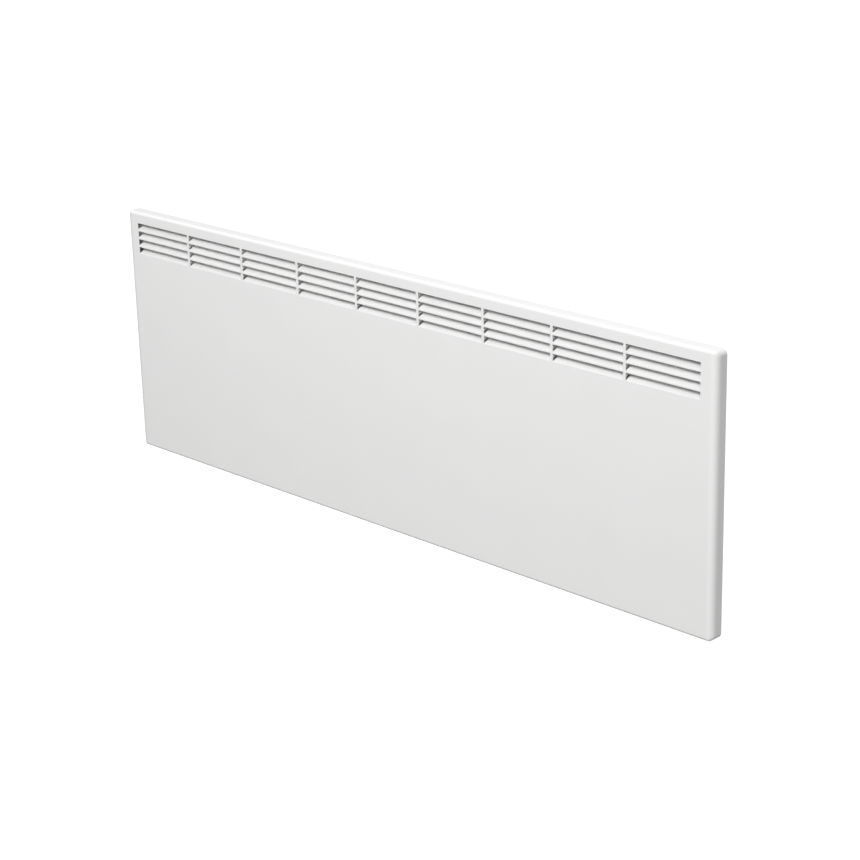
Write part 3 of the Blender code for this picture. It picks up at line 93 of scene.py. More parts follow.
# Air guide behind the louvres: a quarter of an ellipse
BAFFLE_SHEET = 0.0006
BAFFLE_AXIS_Y = -0.043
BAFFLE_START_Z = 0.120
BAFFLE_STEPS = 28

# Bracket and catches
BRACKET_SHEET = 0.0012
BRACKET_FOLD = 0.0014
TRIM_RADIUS = 0.003
KEEPER_SHEET = 0.0015
KEEPER_SHELF = 0.164
UPRIGHT_FLANGE_TOP = 0.128
WALL_SCREW_HOLE = 0.0026
WALL_SCREW_Z = (0.100, -0.100)
PIVOT = Vector((0.0, -0.007, -0.150))
PIVOT_RADIUS = 0.0030
EAR_RADIUS = 0.0052
EAR_THICKNESS = 0.003
EAR_FOOT = 0.0085
LUG_THICKNESS = 0.0015
LUG_SPAN = 0.022
LUG_HEIGHT = 0.026
NOTCH_RISE = 0.016
NOTCH_MOUTH = 0.009
LOCK_Z = 0.152
LOCK_THICKNESS = 0.0026
LOCK_HALF_WIDTH = 0.005
LOCK_FOOT_RADIUS = 0.001
LOCK_HUB = 0.0065
LOCK_GROOVES = 4
LOCK_GROOVE_PITCH = 0.0018
LOCK_GROOVE_DEPTH = 0.0004
RIVET_RADIUS = 0.0025
RIVET_HEAD_HEIGHT = 0.0012
SPRING_SHEET = 0.0005
SPRING_TAIL = 0.5  # as a share of the bulge's half height
SPRING_STEPS = 28

# Underside
BUTTONS = ("minus_button", "plus_button", "mode_button")
STRIP_THICKNESS = 0.0016
STRIP_FRAME = Vector((0.090, 0.0164))
STRIP_FRAME_WALL = 0.0014
STRIP_CORNER = 0.0035
STRIP_EDGE = 0.0003
BUTTON_RADIUS = 0.0045
BUTTON_FLANGE = 0.0060
BUTTON_FLANGE_HEIGHT = 0.0014
BUTTON_PROUD = 0.0016
END_FILLET = 0.0006
END_DISH = 0.0003
DISH_STEPS = 8
WINDOW_RADIUS = 0.0050
MARK_SIZE = Vector((0.0036, 0.0006))
MARK_THICKNESS = 0.0004
BAR_ROUNDING = 0.9
GLAND_BORE = 0.0042
GLAND_NECK = 0.0062
GLAND_COLLAR_HEIGHT = 0.003
GLAND_FILLET = 0.0010
GLAND_BARB = 0.85  # as a share of the collar's radius
SWITCH_CORNER = 0.0016
SWITCH_POCKET = Vector((0.0160, 0.0088, 0.0075))
SWITCH_CORE = Vector((0.0180, 0.0114))
ROCKER_HALF = 0.0072
ROCKER_WIDTH = 0.0080
ROCKER_TOP = 0.0030
ROCKER_TIP = 0.0032
ROCKER_WAIST = 0.0024
ROCKER_EDGE = 0.0004
ROCKER_MARK_X = 0.0046
ROCKER_AXIS_Z = -0.1862
ROCKER_ANGLE = math.radians(7)

# How finely round shapes are drawn, and which edges count as sharp
ROUND = 48
CORNER_STEPS = 14
FOLD_STEPS = 5
SMALL_CORNER_STEPS = 4
SHARP = math.radians(32)
SHALLOW_CREASE = math.radians(50)
CREASE = math.radians(60)
SAME_PLANE = 0.001
NEARLY_FLAT = math.radians(0.5)
WELD = 0.000001
CURVE_WELD = 0.000005
NEAR = 0.00001

# Turns a drawing plane so that its normal lies along X, Y or Z
FACING = {
    "X": Matrix.Rotation(math.pi / 2, 4, "Z") @ Matrix.Rotation(math.pi / 2, 4, "X"),
    "Y": Matrix.Rotation(math.pi / 2, 4, "X"),
    "Z": Matrix.Identity(4),
}

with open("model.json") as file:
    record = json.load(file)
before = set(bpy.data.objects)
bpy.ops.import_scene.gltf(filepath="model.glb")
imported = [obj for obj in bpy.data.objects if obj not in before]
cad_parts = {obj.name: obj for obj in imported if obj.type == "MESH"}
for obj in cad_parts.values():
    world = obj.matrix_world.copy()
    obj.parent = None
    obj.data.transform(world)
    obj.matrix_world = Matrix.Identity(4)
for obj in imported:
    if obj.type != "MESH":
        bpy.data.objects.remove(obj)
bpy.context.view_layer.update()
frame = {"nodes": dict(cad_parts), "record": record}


# ---------------------------------------------------------------------------
# Materials


class Look:
    """A material under construction: a Principled shader and the textures that feed it."""

    def __init__(self, name, color, roughness, metallic=0.0):
        self.material = bpy.data.materials.new(name)
        self.material.use_nodes = True
        self.tree = self.material.node_tree
        self.shader = self.tree.nodes["Principled BSDF"]
        self.set("Base Color", (*color, 1.0))
        self.set("Roughness", roughness)
        self.set("Metallic", metallic)
        self.color = color
        self.roughness = roughness
        self.place = self.node("ShaderNodeTexCoord").outputs["Object"]

    def set(self, socket, value):
        self.shader.inputs[socket].default_value = value

    def link(self, source, target):
        self.tree.links.new(source, target)

    def node(self, kind, inputs=None, **values):
        """A new node, with its inputs set to values or linked to earlier outputs."""
        made = self.tree.nodes.new(kind)
        for name, value in values.items():
            setattr(made, name, value)
        for name, value in (inputs or {}).items():
            if isinstance(value, bpy.types.NodeSocket):
                self.link(value, made.inputs[name])
            else:
                made.inputs[name].default_value = value
        return made

    def stretched(self, scale):
        """Coordinates scaled along the axes, for brushed and drawn surfaces."""
        made = self.node("ShaderNodeMapping", {"Vector": self.place, "Scale": scale})
        return made.outputs["Vector"]

    def noise(self, scale, detail=3.0, vector=None):
        inputs = {"Vector": vector or self.place, "Scale": scale, "Detail": detail}
        return self.node("ShaderNodeTexNoise", inputs).outputs["Fac"]

    def cells(self, scale, output="Color", feature="F1"):
        inputs = {"Vector": self.place, "Scale": scale}
        return self.node("ShaderNodeTexVoronoi", inputs, feature=feature).outputs[output]

    def spread(self, source, low, high, start=0.3, end=0.7):
        """Maps a texture's middle range to low..high."""
        limits = {"From Min": start, "From Max": end, "To Min": low, "To Max": high}
        return self.node("ShaderNodeMapRange", {"Value": source, **limits}).outputs["Result"]

    def mix(self, factor, first, second):
        """A colour between two colours."""
        made = self.node("ShaderNodeMix", data_type="RGBA")
        for name, color in (("A", first), ("B", second)):
            sockets = [s for s in made.inputs if s.name == name and s.type == "RGBA"]
            if isinstance(color, tuple):
                sockets[0].default_value = (*color, 1.0)
            else:
                self.link(color, sockets[0])
        self.link(factor, made.inputs["Factor"])
        return [s for s in made.outputs if s.type == "RGBA"][0]

    def tint(self, factor, amount):
        """Varies the base colour by plus or minus amount."""
        darker = tuple(c * (1 - amount) for c in self.color)
        lighter = tuple(min(1.0, c * (1 + amount)) for c in self.color)
        mixed = self.mix(self.spread(factor, 0.0, 1.0), darker, lighter)
        self.link(mixed, self.shader.inputs["Base Color"])

    def vary_roughness(self, factor, amount):
        low, high = self.roughness - amount, self.roughness + amount
        self.link(self.spread(factor, low, high), self.shader.inputs["Roughness"])

    def bump(self, height, depth):
        """Adds a relief, whose depth is in metres."""
        made = self.node("ShaderNodeBump", {"Height": height, "Distance": depth, "Strength": 1.0})
        before = self.shader.inputs["Normal"]
        if before.is_linked:
            self.link(before.links[0].from_socket, made.inputs["Normal"])
        self.link(made.outputs["Normal"], before)


def enamel(name, color, roughness):
    """Powder coat: a faint orange peel, with a slow drift of tone and gloss."""
    look = Look(name, color, roughness)
    look.tint(look.noise(14.0, 2.0), 0.006)
    look.vary_roughness(look.noise(40.0, 3.0), 0.03)
    look.bump(look.noise(700.0, 1.5), 0.000012)
    look.bump(look.noise(2600.0, 1.0), 0.000003)
    look.set("Specular IOR Level", 0.45)
    look.set("Coat Weight", 0.12)
    look.set("Coat Roughness", 0.22)
    return look.material


def zinc(name, color, roughness):
    """Zinc-plated sheet: faint crystals, rolling lines and a few dull patches."""
    look = Look(name, color, roughness, 1.0)
    crystals = look.cells(260.0)
    dull = look.noise(30.0, 4.0)
    tone = look.mix(look.spread(dull, 0.25, 0.75), crystals, (0.5, 0.5, 0.5))
    grey = look.node("ShaderNodeRGBToBW", {"Color": tone})
    look.tint(grey.outputs["Val"], 0.07)
    look.vary_roughness(grey.outputs["Val"], 0.06)
    look.bump(look.noise(1.0, 3.0, look.stretched((2400.0, 2400.0, 60.0))), 0.000004)
    return look.material


def drawn_aluminium(name, color, roughness):
    """Extruded or rolled metal with fine lines along X."""
    look = Look(name, color, roughness, 1.0)
    lines = look.noise(1.0, 4.0, look.stretched((30.0, 2600.0, 2600.0)))
    look.tint(lines, 0.05)
    look.vary_roughness(lines, 0.07)
    look.bump(lines, 0.000006)
    return look.material


def tinted_steel(name, color, roughness):
    """A tube that has been hot: straw and blue bands along X."""
    look = Look(name, color, roughness, 1.0)
    bands = look.noise(1.0, 2.0, look.stretched((18.0, 60.0, 60.0)))
    mixed = look.mix(look.spread(bands, 0.0, 1.0), (0.44, 0.40, 0.34), (0.33, 0.35, 0.41))
    look.link(mixed, look.shader.inputs["Base Color"])
    look.vary_roughness(look.noise(300.0), 0.08)
    look.bump(look.noise(1800.0), 0.000006)
    return look.material


def moulded(name, color, roughness, grain=0.000012, scale=1500.0):
    """Moulded plastic with a fine spark-eroded grain."""
    look = Look(name, color, roughness)
    look.tint(look.noise(90.0, 3.0), 0.02)
    look.vary_roughness(look.noise(500.0, 3.0), 0.05)
    look.bump(look.noise(scale, 2.0), grain)
    look.set("Specular IOR Level", 0.5)
    return look.material


def ceramic(name, color, roughness):
    look = Look(name, color, roughness)
    specks = look.cells(1400.0, "Distance")
    look.tint(specks, 0.08)
    look.vary_roughness(look.noise(700.0), 0.08)
    look.bump(look.noise(1100.0, 4.0), 0.00003)
    return look.material


def turned_brass(name, color, roughness):
    look = Look(name, color, roughness, 1.0)
    look.tint(look.noise(400.0, 3.0), 0.08)
    look.vary_roughness(look.noise(900.0, 3.0), 0.08)
    look.bump(look.noise(1.0, 2.0, look.stretched((5200.0, 900.0, 900.0))), 0.000006)
    return look.material


def circuit_board(name, color, roughness):
    """Solder resist over a net of tracks."""
    look = Look(name, color, roughness)
    tracks = look.cells(420.0, "Distance", "DISTANCE_TO_EDGE")
    shown = look.spread(tracks, 1.0, 0.0, 0.03, 0.07)
    lighter = tuple(min(1.0, c * 1.9) for c in color)
    look.link(look.mix(shown, color, lighter), look.shader.inputs["Base Color"])
    look.vary_roughness(look.noise(300.0), 0.06)
    look.bump(shown, 0.00003)
    return look.material


def clear(name, color, roughness):
    look = Look(name, color, roughness)
    look.set("Transmission Weight", 0.9)
    look.set("IOR", 1.49)
    look.tint(look.noise(200.0), 0.02)
    look.vary_roughness(look.noise(900.0), 0.02)
    look.bump(look.noise(500.0), 0.000003)
    return look.material


def display(name, color, roughness):
    """A tinted block with a faint grid of lit cells."""
    look = Look(name, color, roughness)
    dots = look.cells(900.0, "Distance")
    look.tint(dots, 0.25)
    look.vary_roughness(look.noise(600.0), 0.05)
    look.bump(dots, 0.00002)
    return look.material


def silicone(name, color, roughness):
    look = Look(name, color, roughness)
    look.tint(look.noise(260.0, 4.0), 0.08)
    look.vary_roughness(look.noise(800.0), 0.07)
    look.bump(look.noise(2200.0, 2.0), 0.00001)
    look.set("Sheen Weight", 0.15)
    return look.material


RECIPES = {
    "white_enamel": (enamel, (0.86, 0.86, 0.855), 0.38),
    "casing_enamel": (enamel, (0.82, 0.82, 0.815), 0.45),
    "zinc_steel": (zinc, (0.62, 0.63, 0.64), 0.36),
    "aluminium": (drawn_aluminium, (0.75, 0.76, 0.77), 0.38),
    "sheath_steel": (tinted_steel, (0.42, 0.41, 0.40), 0.42),
    "ceramic": (ceramic, (0.88, 0.85, 0.78), 0.60),
    "white_plastic": (moulded, (0.85, 0.85, 0.84), 0.42),
    "grey_plastic": (moulded, (0.30, 0.31, 0.32), 0.50, 0.00002, 1100.0),
    "black_plastic": (moulded, (0.03, 0.03, 0.032), 0.42, 0.000016, 1300.0),
    "board_green": (circuit_board, (0.03, 0.16, 0.07), 0.38),
    "lens_clear": (clear, (0.90, 0.92, 0.93), 0.05),
    "brass": (turned_brass, (0.78, 0.60, 0.28), 0.32),
    "display_block": (display, (0.35, 0.05, 0.04), 0.35),
    "brown_wire": (silicone, (0.22, 0.09, 0.04), 0.50),
    "blue_wire": (silicone, (0.05, 0.14, 0.50), 0.50),
    "green_wire": (silicone, (0.20, 0.48, 0.06), 0.50),
    "white_wire": (silicone, (0.80, 0.80, 0.78), 0.50),
}
LOOKS = {name: recipe(name, *values) for name, (recipe, *values) in RECIPES.items()}


# ---------------------------------------------------------------------------
# Modelling tools


def add(name, mesh):
    obj = bpy.data.objects.new(name, mesh)
    bpy.context.scene.collection.objects.link(obj)
    return obj


def mesh_of(bm, name):
    mesh = bpy.data.meshes.new(name)
    bm.to_mesh(mesh)
    bm.free()
    return mesh


def box(name, low, high):
    low, high = Vector(low), Vector(high)
    bm = bmesh.new()
    bmesh.ops.create_cube(bm, size=1.0)
    bmesh.ops.scale(bm, vec=high - low, verts=bm.verts)
    bmesh.ops.translate(bm, vec=(low + high) / 2, verts=bm.verts)
    return add(name, mesh_of(bm, name))


def cylinder(name, radius, start, end):
    start, end = Vector(start), Vector(end)
    bm = bmesh.new()
    bmesh.ops.create_cone(
        bm,
        cap_ends=True,
        segments=ROUND,
        radius1=radius,
        radius2=radius,
        depth=(end - start).length,
    )
    turn = (end - start).to_track_quat("Z", "Y").to_matrix().to_4x4()
    bmesh.ops.transform(bm, matrix=Matrix.Translation((start + end) / 2) @ turn, verts=bm.verts)
    return add(name, mesh_of(bm, name))


def turned(name, profile, base, direction, ring=False):
    """A turned piece: its profile is (radius, height) pairs, from the top down the outer side."""
    bm = bmesh.new()
    verts = [bm.verts.new((radius, 0, height)) for radius, height in profile]
    pairs = list(zip(verts, verts[1:]))
    if ring:
        pairs.append((verts[-1], verts[0]))
    edges = [bm.edges.new(pair) for pair in pairs]
    bmesh.ops.spin(
        bm,
        geom=verts + edges,
        cent=(0, 0, 0),
        axis=(0, 0, 1),
        angle=2 * math.pi,
        steps=ROUND,
        use_merge=True,
    )
    bmesh.ops.remove_doubles(bm, verts=bm.verts, dist=WELD)
    bmesh.ops.recalc_face_normals(bm, faces=bm.faces)
    turn = Vector(direction).to_track_quat("Z", "Y").to_matrix().to_4x4()
    bmesh.ops.transform(bm, matrix=Matrix.Translation(base) @ turn, verts=bm.verts)
    return add(name, mesh_of(bm, name))


def outline(name, loops, thickness, middle, facing):
    """A flat outline, with holes as further loops, extruded equally to both sides of its plane."""
    curve = bpy.data.curves.new(name, "CURVE")
    curve.dimensions = "2D"
    curve.fill_mode = "BOTH"
    curve.extrude = thickness / 2
    for points in loops:
        spline = curve.splines.new("POLY")
        spline.points.add(len(points) - 1)
        spline.use_cyclic_u = True
        for point, (across, up) in zip(spline.points, points):
            point.co = (across, up, 0, 1)
    flat = add(name, curve)
    graph = bpy.context.evaluated_depsgraph_get()
    mesh = bpy.data.meshes.new_from_object(flat.evaluated_get(graph))
    bpy.data.objects.remove(flat)
    bm = bmesh.new()
    bm.from_mesh(mesh)
    bmesh.ops.remove_doubles(bm, verts=bm.verts, dist=CURVE_WELD)
    bmesh.ops.dissolve_limit(bm, angle_limit=SAME_PLANE, verts=bm.verts, edges=bm.edges)
    bmesh.ops.transform(bm, matrix=Matrix.Translation(middle) @ FACING[facing], verts=bm.verts)
    bm.to_mesh(mesh)
    bm.free()
    mesh.materials.clear()
    return add(name, mesh)


def arc(radius, start, end, steps, middle=(0.0, 0.0), squash=1.0):
    """Points of an arc, or of an ellipse's arc where `squash` scales its height."""
    points = []
    for i in range(steps + 1):
        angle = start + (end - start) * i / steps
        across = middle[0] + radius * math.cos(angle)
        points.append((across, middle[1] + radius * squash * math.sin(angle)))
    return points


def rounded_path(points, radius, steps=FOLD_STEPS):
    """The path with each inner corner turned on an arc."""
    knots = [Vector(point) for point in points]
    route = [knots[0]]
    for before, corner, after in zip(knots, knots[1:], knots[2:]):
        into, out = (corner - before).normalized(), (after - corner).normalized()
        turn = into.angle(out)
        reach = radius * math.tan(turn / 2)
        middle = corner + (out - into).normalized() * radius / math.cos(turn / 2)
        start = corner - into * reach - middle
        end = corner + out * reach - middle
        first = math.atan2(start.y, start.x)
        swing = math.remainder(math.atan2(end.y, end.x) - first, 2 * math.pi)
        route += [Vector(point) for point in arc(radius, first, first + swing, steps, middle)]
    return [*route, knots[-1]]


def rounded_rectangle(low, high, radius, steps=CORNER_STEPS):
    """A closed loop, anticlockwise from the lower right corner."""
    corners = (
        (high[0] - radius, low[1] + radius),
        (high[0] - radius, high[1] - radius),
        (low[0] + radius, high[1] - radius),
        (low[0] + radius, low[1] + radius),
    )
    points = []
    for quarter, middle in enumerate(corners):
        start = (quarter - 1) * math.pi / 2
        points += arc(radius, start, start + math.pi / 2, steps, middle)
    return points


def circle(radius, middle=(0.0, 0.0)):
    return arc(radius, 0, 2 * math.pi, ROUND, middle)[:-1]


def folded_sheet(name, path, span, thickness, middle, facing, fold):
    """A sheet folded along a path in the plane that `facing` names; it spans the plane's normal."""
    bm = bmesh.new()
    route = rounded_path(path, fold) if fold else [Vector(point) for point in path]
    points = [bm.verts.new((*point, -span / 2)) for point in route]
    edges = [bm.edges.new(pair) for pair in zip(points, points[1:])]
    swept = bmesh.ops.extrude_edge_only(bm, edges=edges)["geom"]
    moved = [item for item in swept if isinstance(item, bmesh.types.BMVert)]
    bmesh.ops.translate(bm, vec=(0, 0, span), verts=moved)
    bmesh.ops.transform(bm, matrix=Matrix.Translation(middle) @ FACING[facing], verts=bm.verts)
    obj = add(name, mesh_of(bm, name))
    thicken(obj, thickness, 0)
    return obj


def thicken(obj, thickness, offset):
    shell = obj.modifiers.new("Sheet", "SOLIDIFY")
    shell.thickness = thickness
    shell.offset = offset
    shell.use_even_offset = True
    settle(obj)


def settle(obj):
    """Turns the object with its modifiers into a plain mesh."""
    graph = bpy.context.evaluated_depsgraph_get()
    mesh = bpy.data.meshes.new_from_object(obj.evaluated_get(graph))
    obj.modifiers.clear()
    obj.data = mesh


def combine(obj, operation, *others):
    """Cuts or joins the others, which are used up."""
    for other in others:
        step = obj.modifiers.new(operation.title(), "BOOLEAN")
        step.operation = operation
        step.object = other
    settle(obj)
    for other in others:
        bpy.data.objects.remove(other)


def join(name, objects):
    """One object from loose ones that don't overlap."""
    bm = bmesh.new()
    for obj in objects:
        bm.from_mesh(obj.data)
        bpy.data.objects.remove(obj)
    return add(name, mesh_of(bm, name))


def soften(obj, width, segments=2, angle=CREASE):
    """Rounds the sharp edges, so that they catch light."""
    bm = bmesh.new()
    bm.from_mesh(obj.data)
    bmesh.ops.dissolve_limit(
        bm, angle_limit=NEARLY_FLAT, verts=bm.verts, edges=bm.edges, delimit={"SHARP"}
    )
    bm.to_mesh(obj.data)
    bm.free()
    edge = obj.modifiers.new("Edges", "BEVEL")
    edge.width = width
    edge.segments = segments
    edge.limit_method = "ANGLE"
    edge.angle_limit = angle
    edge.use_clamp_overlap = True
    edge.miter_outer = "MITER_ARC"
    settle(obj)


def finished(obj, body, slot, *nodes):
    """Shades the piece, gives it its material and body, and lets it stand for its CAD nodes."""
    obj.data.shade_smooth()
    obj.data.set_sharp_from_angle(angle=SHARP)
    weigh(obj)
    obj.data.materials.clear()
    obj.data.materials.append(LOOKS[slot])
    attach(obj, body)
    if nodes:
        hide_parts(*nodes)


def weigh(obj):
    """Lets the large flat faces set the shading of the small round ones beside them."""
    normals = obj.modifiers.new("Normals", "WEIGHTED_NORMAL")
    normals.keep_sharp = True
    normals.weight = 100


def middle_of(node):
    low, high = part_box(node)
    return (low + high) / 2


# ---------------------------------------------------------------------------
# Front cover


def tray_ring(low, high, y_of, inset_of, corner):
    """A ring of a tray: a rounded rectangle whose depth and insets depend on the side it is on."""
    ring = []
    for quarter in range(4):
        right = quarter < 2
        upper = quarter in (1, 2)
        edge = Vector((high.x if right else low.x, high.z if upper else low.z))
        sign = Vector((1 if right else -1, 1 if upper else -1))
        for i in range(CORNER_STEPS + 1):
            angle = (quarter - 1) * math.pi / 2 + math.pi / 2 * i / CORNER_STEPS
            spoke = Vector((math.cos(angle), math.sin(angle)))
            side_share = spoke.x**2
            side_inset, end_inset = inset_of(upper)
            across = edge.x - sign.x * (side_inset + corner) + corner * spoke.x
            up = edge.y - sign.y * (end_inset + corner) + corner * spoke.y
            ring.append(Vector((across, y_of(upper, side_share), up)))
    return ring


def loft(bm, rings):
    """Quads between closed rings, and a face that closes the last one."""
    made = [[bm.verts.new(point) for point in ring] for ring in rings]
    for ring, following in zip(made, made[1:]):
        count = len(ring)
        for i in range(count):
            j = (i + 1) % count
            bm.faces.new((ring[i], ring[j], following[j], following[i]))
    bm.faces.new(made[-1])
    bmesh.ops.remove_doubles(bm, verts=bm.verts, dist=WELD)
    bmesh.ops.recalc_face_normals(bm, faces=bm.faces)


def end_radius(upper):
    return COVER_TOP_RADIUS if upper else COVER_BOTTOM_RADIUS


def cover_rings(low, high):
    """Sections of the cover, from its back edge round the folds to the flat front."""
    rings = [tray_ring(low, high, lambda *_: high.y, lambda _: (0.0, 0.0), COVER_CORNER_RADIUS)]
    for step in range(SECTION_STEPS + 1):
        angle = math.pi / 2 * step / SECTION_STEPS
        drawn_in, ahead = 1 - math.cos(angle), 1 - math.sin(angle)
        corner = COVER_FRONT_CORNER + (COVER_CORNER_RADIUS - COVER_FRONT_CORNER) * math.cos(angle)

        def depth(upper, side_share, ahead=ahead):
            radius = end_radius(upper) + (COVER_SIDE_RADIUS - end_radius(upper)) * side_share
            return low.y + radius * ahead

        def inset(upper, drawn_in=drawn_in):
            return COVER_SIDE_RADIUS * drawn_in, end_radius(upper) * drawn_in

        rings.append(tray_ring(low, high, depth, inset, corner))
    return rings


def slot_places(high):
    """Left edge, right edge, lower edge and upper edge of each slot."""
    for row in range(ROWS):
        top = high.z - SLOT_TOP_INSET - row * ROW_PITCH
        for column in range(COLUMNS):
            middle = (column - (COLUMNS - 1) / 2) * COLUMN_PITCH
            yield middle - SLOT_LENGTH / 2, middle + SLOT_LENGTH / 2, top - SLOT_HEIGHT, top


def cut_along(bm, places, axis):
    """Cuts the skin along planes across one axis."""
    normal = Vector((0, 0, 0))
    normal[axis] = 1.0
    for place in sorted(places):
        bmesh.ops.bisect_plane(
            bm,
            geom=bm.verts[:] + bm.edges[:] + bm.faces[:],
            dist=WELD,
            plane_co=normal * place,
            plane_no=normal,
        )


def bend_blade(bm, edge, front):
    """The strip that was cut free on three sides, folded inwards about its lower edge."""
    root_z = edge.verts[0].co.z
    fold = [
        (
            front + BLADE_FOLD * (1 - math.cos(BLADE_ANGLE * i / BLADE_FOLD_STEPS)),
            root_z + BLADE_FOLD * math.sin(BLADE_ANGLE * i / BLADE_FOLD_STEPS),
        )
        for i in range(1, BLADE_FOLD_STEPS + 1)
    ]
    straight = BLADE_LENGTH - BLADE_FOLD * BLADE_ANGLE
    tip = (
        fold[-1][0] + straight * math.sin(BLADE_ANGLE),
        fold[-1][1] + straight * math.cos(BLADE_ANGLE),
    )
    last = edge
    for y, z in [*fold, tip]:
        grown = bmesh.ops.extrude_edge_only(bm, edges=[last])["geom"]
        for vert in (item for item in grown if isinstance(item, bmesh.types.BMVert)):
            vert.co.y = y
            vert.co.z = z
        last = next(
            item
            for item in grown
            if isinstance(item, bmesh.types.BMEdge)
            and all(v in grown for v in item.verts)
        )


def cover_skin():
    low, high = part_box("front_cover")
    bm = bmesh.new()
    loft(bm, cover_rings(low, high))
    slots = list(slot_places(high))
    cut_along(bm, {round(value, 6) for slot in slots for value in slot[:2]}, 0)
    cut_along(bm, {round(value, 6) for slot in slots for value in slot[2:]}, 2)
    for left, right, bottom, top in slots:
        inside = [
            face
            for face in bm.faces
            if left < face.calc_center_median().x < right
            and bottom < face.calc_center_median().z < top
            and abs(face.normal.y) > 0.99
        ]
        bmesh.ops.delete(bm, geom=inside, context="FACES")
        root = next(
            edge
            for edge in bm.edges
            if edge.is_boundary
            and all(abs(v.co.z - bottom) < NEAR for v in edge.verts)
            and left < (edge.verts[0].co.x + edge.verts[1].co.x) / 2 < right
            and edge.verts[0].co.y < low.y + NEAR
        )
        bend_blade(bm, root, low.y)
    return bm


def screw_middles():
    return [middle_of(f"cover_screw_{number}") for number in range(1, SCREWS + 1)]


def cover_tabs(high):
    """Tabs bent in from the cover's top and bottom, which the casing's screws enter."""
    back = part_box("rear_casing")[0].y - GAP
    tabs = []
    for screw in screw_middles():
        side = math.copysign(1, screw.z)
        edge = side * (high.z - SHEET)
        inner = side * (high.z - TAB_HEIGHT)
        tab = box(
            "tab",
            (screw.x - TAB_WIDTH / 2, back - TAB_THICKNESS, min(edge, inner)),
            (screw.x + TAB_WIDTH / 2, back, max(edge, inner)),
        )
        start, end = (screw.x, back - CUT_DEPTH, screw.z), (screw.x, 0, screw.z)
        combine(tab, "DIFFERENCE", cylinder("tab_hole", SCREW_HOLE, start, end))
        tabs.append(tab)
    return tabs


def front_cover():
    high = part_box("front_cover")[1]
    shell = add("cover_shell", mesh_of(cover_skin(), "cover_shell"))
    thicken(shell, SHEET, -1)
    edge = shell.modifiers.new("Edges", "BEVEL")
    edge.width = COVER_EDGE
    edge.segments = 2
    edge.limit_method = "ANGLE"
    edge.angle_limit = SHALLOW_CREASE
    settle(shell)
    whole = join("cover_shell", [shell, *cover_tabs(high)])
    finished(whole, "heater", "white_enamel", "front_cover")


# ---------------------------------------------------------------------------
# Rear casing


def casing_rings(low, high):
    """Sections of the casing, from its flange's edge over the folds to its flat back."""
    back_of_flange = low.y + SHEET

    def ring(y, shift, corner):
        def inset(upper):
            end_inset = CASING_TOP_INSET if upper else CASING_BOTTOM_INSET
            return CASING_SIDE_INSET + shift, end_inset + shift

        return tray_ring(low, high, lambda *_: y, inset, corner)

    rings = [
        tray_ring(low, high, lambda *_: back_of_flange, lambda _: (0.0, 0.0), FLANGE_CORNER)
    ]
    for step in range(FOLD_STEPS + 1):
        turn = math.pi / 2 * step / FOLD_STEPS
        out = CASING_ROOT_FOLD * (1 - math.sin(turn))
        y = back_of_flange + CASING_ROOT_FOLD * (1 - math.cos(turn))
        rings.append(ring(y, -out, CASING_CORNER + out))
    for step in range(FOLD_STEPS + 1):
        turn = math.pi / 2 * step / FOLD_STEPS
        drawn_in = CASING_FOLD * (1 - math.cos(turn))
        y = high.y - CASING_FOLD * (1 - math.sin(turn))
        rings.append(ring(y, drawn_in, CASING_CORNER - drawn_in))
    return rings


def slotted(length, width, middle):
    """The outline of a slot with round ends."""
    radius, quarter = width / 2, math.pi / 2
    reach, (across, up) = (length - width) / 2, middle
    right = arc(radius, -quarter, quarter, SLOT_END_STEPS, (across + reach, up))
    left = arc(radius, quarter, 3 * quarter, SLOT_END_STEPS, (across - reach, up))
    return right + left


def floor_holes(floor_z):
    """Cutters for the intake slots and for what sits in the casing's floor."""
    loops = []
    for row in range(INTAKE_ROWS):
        for column in range(INTAKE_COLUMNS):
            middle = INTAKE_START + Vector((column * INTAKE_PITCH, row * INTAKE_ROW_PITCH))
            loops.append(slotted(*INTAKE_SIZE, middle))
    for node, size in (("control_strip", STRIP_FRAME), ("power_switch_body", SWITCH_CORE)):
        middle = middle_of(node).xy
        half = size / 2 + Vector((GAP, GAP))
        low, high = middle - half, middle + half
        loops.append(rounded_rectangle(low, high, SWITCH_CORNER, SMALL_CORNER_STEPS))
    loops.append(circle(GLAND_NECK + GAP, middle_of("cord_gland").xy))
    return outline("floor_holes", loops, CUT_DEPTH, (0, 0, floor_z), "Z")


def flange_holes(low):
    holes = []
    for screw in screw_middles():
        start = (screw.x, low.y - SHEET, screw.z)
        end = (screw.x, low.y + 2 * SHEET, screw.z)
        holes.append(cylinder("screw_hole", SCREW_HOLE, start, end))
    return holes


def rear_casing():
    low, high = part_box("rear_casing")
    bm = bmesh.new()
    loft(bm, casing_rings(low, high))
    back = max(bm.faces, key=lambda face: face.calc_area())
    if back.normal.y < 0:
        bmesh.ops.reverse_faces(bm, faces=bm.faces)
    shell = add("casing_shell", mesh_of(bm, "casing_shell"))
    thicken(shell, SHEET, -1)
    combine(shell, "DIFFERENCE", floor_holes(low.z + CASING_BOTTOM_INSET), *flange_holes(low))
    soften(shell, EDGE_BREAK)
    finished(shell, "heater", "casing_enamel", "rear_casing")


